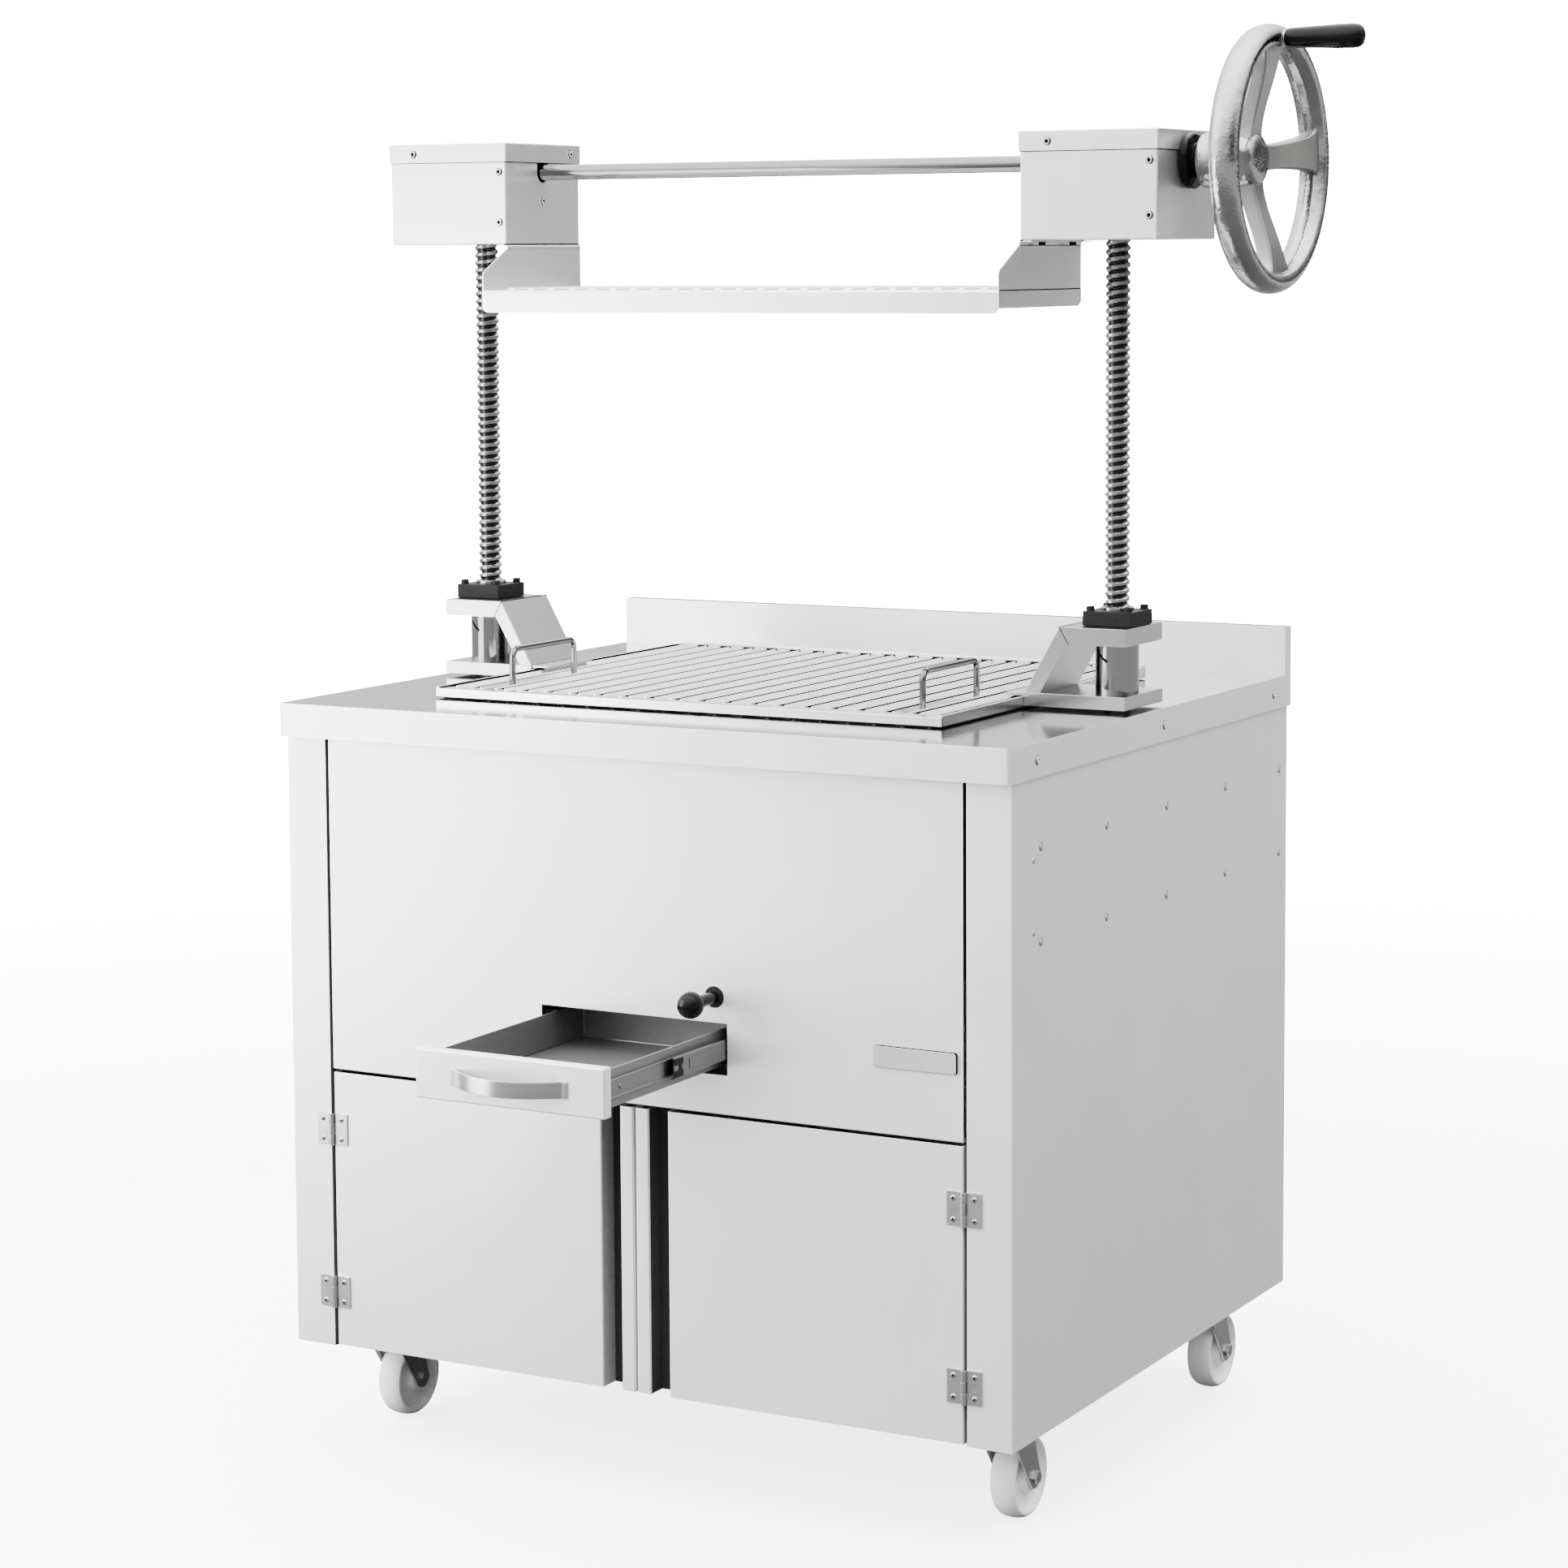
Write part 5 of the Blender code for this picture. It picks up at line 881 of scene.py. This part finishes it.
# painted shade: undersides and the side rails' inner faces take the black finish, so the gaps between bars read dark
for face in bm.faces:
    middle, normal = face.calc_center_median(), face.normal
    railInside = middle.x * normal.x < -0.2 and abs(middle.x) > inner - 0.001
    face.material_index = int(normal.z < -0.1 or railInside)
finishPiece(bm, "grate_bars", "carriage", grateSteel, ("grate",), under=paintedShade)
bm = bmesh.new()
for index in range(-bars, bars):  # painted shade: open slots under the back rail, drawn as black blocks
    x = (index + 0.5) * g["pitch"]
    addBlock(bm, (x - g["slot"], g["back"] - g["rail"] - 0.0006, g["backTop"] - 0.0075),
             (x + g["slot"], g["back"] - g["rail"] + 0.001, g["backTop"] - 0.0030), 0.0004)
finishPiece(bm, "grate_slot_shade", "carriage", paintedShade)
bm = bmesh.new()
for _, side in sides:
    foot = g["frontTop"] - 0.011
    path = [(side * g["loopX"], y, z) for y, z in ((g["loopFront"], foot), (g["loopFront"], g["crown"]),
                                                  (g["loopBack"], g["crown"]), (g["loopBack"], foot))]
    addTube(bm, roundedPath(path, 0.012, 6), g["loop"])
finishPiece(bm, "grate_loops", "carriage", shaftSteel)
print("grate done")

# castors
castorDetail = {"trail": 0.034, "wheel": 0.050, "tread": 0.016, "hub": 0.018}
for name in castorNames:
    low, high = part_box(f"{name}_caster_plate")
    x, y = (low[0] + high[0]) / 2, (low[1] + high[1]) / 2
    bm = bmesh.new()
    addBlock(bm, (low[0], low[1], high[2] - 0.003), (high[0], high[1], high[2]), 0.0009, 2)
    for dx in (-1, 1):
        for dy in (-1, 1):
            addCapScrew(bm, (x + dx * 0.032, y + dy * 0.042, high[2] - 0.003), (0, 0, -1), 0.0065, 0.0045, 0.2)
    race = [(0, high[2] - 0.002), (0.034, high[2] - 0.003), (0.034, 0.1190), (0.0325, 0.1176), (0.0312, 0.1170),
            (0.0325, 0.1160), (0.0330, 0.1140), (0.0320, 0.1131), (0.007, 0.1129), (0.006, 0.1127), (0.006, 0.1081),
            (0.0096, 0.1081), (0.0096, 0.1046), (0.0085, 0.1039), (0, 0.1039)]
    addTurned(bm, race, (x, y, 0), (0, 0, 1), 36)
    finishPiece(bm, f"{name}_castor_plate", "cabinet", zincPlate, (f"{name}_caster_plate",))
    bm = bmesh.new()
    addSoftened(bm, f"{name}_fork", 0.0007)
    finishPiece(bm, f"{name}_pressed_fork", f"{name}_fork_body", zincPlate, (f"{name}_fork",))
    bm = bmesh.new()
    r, e, h = castorDetail["wheel"], castorDetail["tread"], castorDetail["hub"]
    upper = [(0.0059, h), (0.0150, h), (0.0172, h - 0.0010), (0.0185, h - 0.0045), (0.0200, 0.0095), (0.0350, 0.0082),
             (0.0385, 0.0098), (0.0405, e - 0.0015), (0.0425, e), (0.0455, e - 0.0006), (0.0482, e - 0.0042),
             (0.0496, e - 0.0092), (r, 0.0)]
    profile = upper + [(radius, -along) for radius, along in upper[-2::-1]]
    addTurned(bm, profile, (x, y + castorDetail["trail"], castorDetail["wheel"]), (1, 0, 0), 64, closed=True)
    finishPiece(bm, f"{name}_nylon_wheel", f"{name}_wheel_body", nylon, (f"{name}_wheel",), 40)
print("castors done")

# floor, light and camera
studio = {"lens": 87.582, "shift": -0.10663, "yaw": 28.87243, "pitch": -5.40317, "roll": -0.32798,
          "place": (2.30858, -4.22300, 1.47903), "backdrop": 20.0, "floorShown": 0.90, "floorMirrored": 0.05, "farGlow": 0.6, "farReach": (2.0, 8.0),
          "glowNear": 4.0, "glowFar": 20.0, "glowReach": (1.5, 7.0), "horizon": 0.45, "zenith": 9.0, "skyPower": 1.1,
          "keyWay": (-0.80, -0.52, 0.24), "keyGain": 5.5, "keyPower": 7.0,
          "softbox": (-1.25, -1.40, 0.85), "softboxAim": (0.0, -0.30, 0.75), "softboxSize": (1.0, 1.4), "softboxPower": 48.0, "shadeWay": (0.48, 0.86, 0.10),
          "shadeCut": 0.85, "shadePower": 7.0, "gapWay": (0.88, -0.45, 0.05), "gapCut": 0.90, "gapPower": 4.0}


def lobe(tree, direction, way, power):  # a soft patch of the surroundings round one direction
    toward = tree.nodes.new("ShaderNodeVectorMath")
    toward.operation = "DOT_PRODUCT"
    tree.links.new(direction, toward.inputs[0])
    toward.inputs[1].default_value = Vector(way).normalized()
    return reckon(tree, "POWER", reckon(tree, "MAXIMUM", toward.outputs["Value"], 0.0), power)


floorMesh = bpy.data.meshes.new("floor")
bm = bmesh.new()
bmesh.ops.create_grid(bm, x_segments=2, y_segments=2, size=60.0)
bm.to_mesh(floorMesh)
bm.free()
floor = bpy.data.objects.new("floor", floorMesh)
bpy.context.scene.collection.objects.link(floor)
floorPaint = bpy.data.materials.new("floorPaint")
floorPaint.use_nodes = True
tree = floorPaint.node_tree
floorShader = tree.nodes["Principled BSDF"]
floorShader.inputs["Roughness"].default_value = 0.9
seen = tree.nodes.new("ShaderNodeLightPath").outputs["Is Camera Ray"]
shown = reckon(tree, "MULTIPLY_ADD", seen, studio["floorShown"] - studio["floorMirrored"], studio["floorMirrored"])
tree.links.new(shown, floorShader.inputs["Base Color"])
distance = tree.nodes.new("ShaderNodeVectorMath")
distance.operation = "LENGTH"
tree.links.new(tree.nodes.new("ShaderNodeTexCoord").outputs["Object"], distance.inputs[0])
glow = tree.nodes.new("ShaderNodeMapRange")  # the floor brightens into the backdrop
glow.interpolation_type = "SMOOTHSTEP"
for socket, value in (("From Min", studio["glowReach"][0]), ("From Max", studio["glowReach"][1]),
                      ("To Min", studio["glowNear"]), ("To Max", studio["glowFar"])):
    glow.inputs[socket].default_value = value
tree.links.new(distance.outputs["Value"], glow.inputs["Value"])
floorShader.inputs["Emission Color"].default_value = (1, 1, 1, 1)
far = tree.nodes.new("ShaderNodeMapRange")  # mirrored in the steel it is dark near and pale far away
far.interpolation_type = "SMOOTHSTEP"
for socket, value in (("From Min", studio["farReach"][0]), ("From Max", studio["farReach"][1]), ("To Min", 0.0),
                      ("To Max", studio["farGlow"])):
    far.inputs[socket].default_value = value
tree.links.new(distance.outputs["Value"], far.inputs["Value"])
shownGlow = reckon(tree, "MULTIPLY", seen, glow.outputs["Result"])
mirrorGlow = reckon(tree, "MULTIPLY", reckon(tree, "SUBTRACT", 1.0, seen), far.outputs["Result"])
tree.links.new(reckon(tree, "ADD", shownGlow, mirrorGlow), floorShader.inputs["Emission Strength"])
floorMesh.materials.append(floorPaint)

world = bpy.data.worlds.new("studio")
bpy.context.scene.world = world
world.use_nodes = True
tree = world.node_tree
direction = tree.nodes.new("ShaderNodeTexCoord").outputs["Generated"]
split = tree.nodes.new("ShaderNodeSeparateXYZ")
tree.links.new(direction, split.inputs[0])
height = reckon(tree, "POWER", reckon(tree, "MAXIMUM", split.outputs["Z"], 0.0), studio["skyPower"])
sky = reckon(tree, "MULTIPLY_ADD", height, studio["zenith"] - studio["horizon"], studio["horizon"])
key = lobe(tree, direction, studio["keyWay"], studio["keyPower"])
sky = reckon(tree, "MULTIPLY_ADD", key, studio["keyGain"], sky)
shade = lobe(tree, direction, studio["shadeWay"], studio["shadePower"])
sky = reckon(tree, "MULTIPLY", sky, reckon(tree, "MULTIPLY_ADD", shade, -studio["shadeCut"], 1.0))
gap = lobe(tree, direction, studio["gapWay"], studio["gapPower"])
sky = reckon(tree, "MULTIPLY", sky, reckon(tree, "MULTIPLY_ADD", gap, -studio["gapCut"], 1.0))
seen = tree.nodes.new("ShaderNodeLightPath").outputs["Is Camera Ray"]
backdrop = reckon(tree, "MULTIPLY", seen, studio["backdrop"])
around = reckon(tree, "MULTIPLY", reckon(tree, "SUBTRACT", 1.0, seen), sky)
tree.links.new(reckon(tree, "ADD", backdrop, around), tree.nodes["Background"].inputs["Strength"])
tree.nodes["Background"].inputs["Color"].default_value = (1, 1, 1, 1)

softboxData = bpy.data.lights.new("softbox", "AREA")  # shades the front from left to right
softboxData.shape = "RECTANGLE"
softboxData.size, softboxData.size_y = studio["softboxSize"]
softboxData.energy = studio["softboxPower"]
softbox = bpy.data.objects.new("softbox", softboxData)
toward = (Vector(studio["softboxAim"]) - Vector(studio["softbox"])).to_track_quat("-Z", "Y")
softbox.matrix_world = Matrix.Translation(studio["softbox"]) @ toward.to_matrix().to_4x4()
softbox.visible_camera = False
bpy.context.scene.collection.objects.link(softbox)

yaw, pitch, roll = (math.radians(studio[key]) for key in ("yaw", "pitch", "roll"))
forward = Vector((-math.sin(yaw) * math.cos(pitch), math.cos(yaw) * math.cos(pitch), math.sin(pitch)))
right = Vector((math.cos(yaw), math.sin(yaw), 0))
up = right.cross(forward)
right, up = right * math.cos(roll) + up * math.sin(roll), up * math.cos(roll) - right * math.sin(roll)
cameraData = bpy.data.cameras.new("photoCamera")
cameraData.lens = studio["lens"]
cameraData.sensor_width = 36.0
cameraData.shift_y = studio["shift"]
camera = bpy.data.objects.new("photoCamera", cameraData)
camera.matrix_world = Matrix.Translation(studio["place"]) @ Matrix((right, up, -forward)).transposed().to_4x4()
bpy.context.scene.collection.objects.link(camera)
bpy.context.scene.camera = camera
print("stage set")
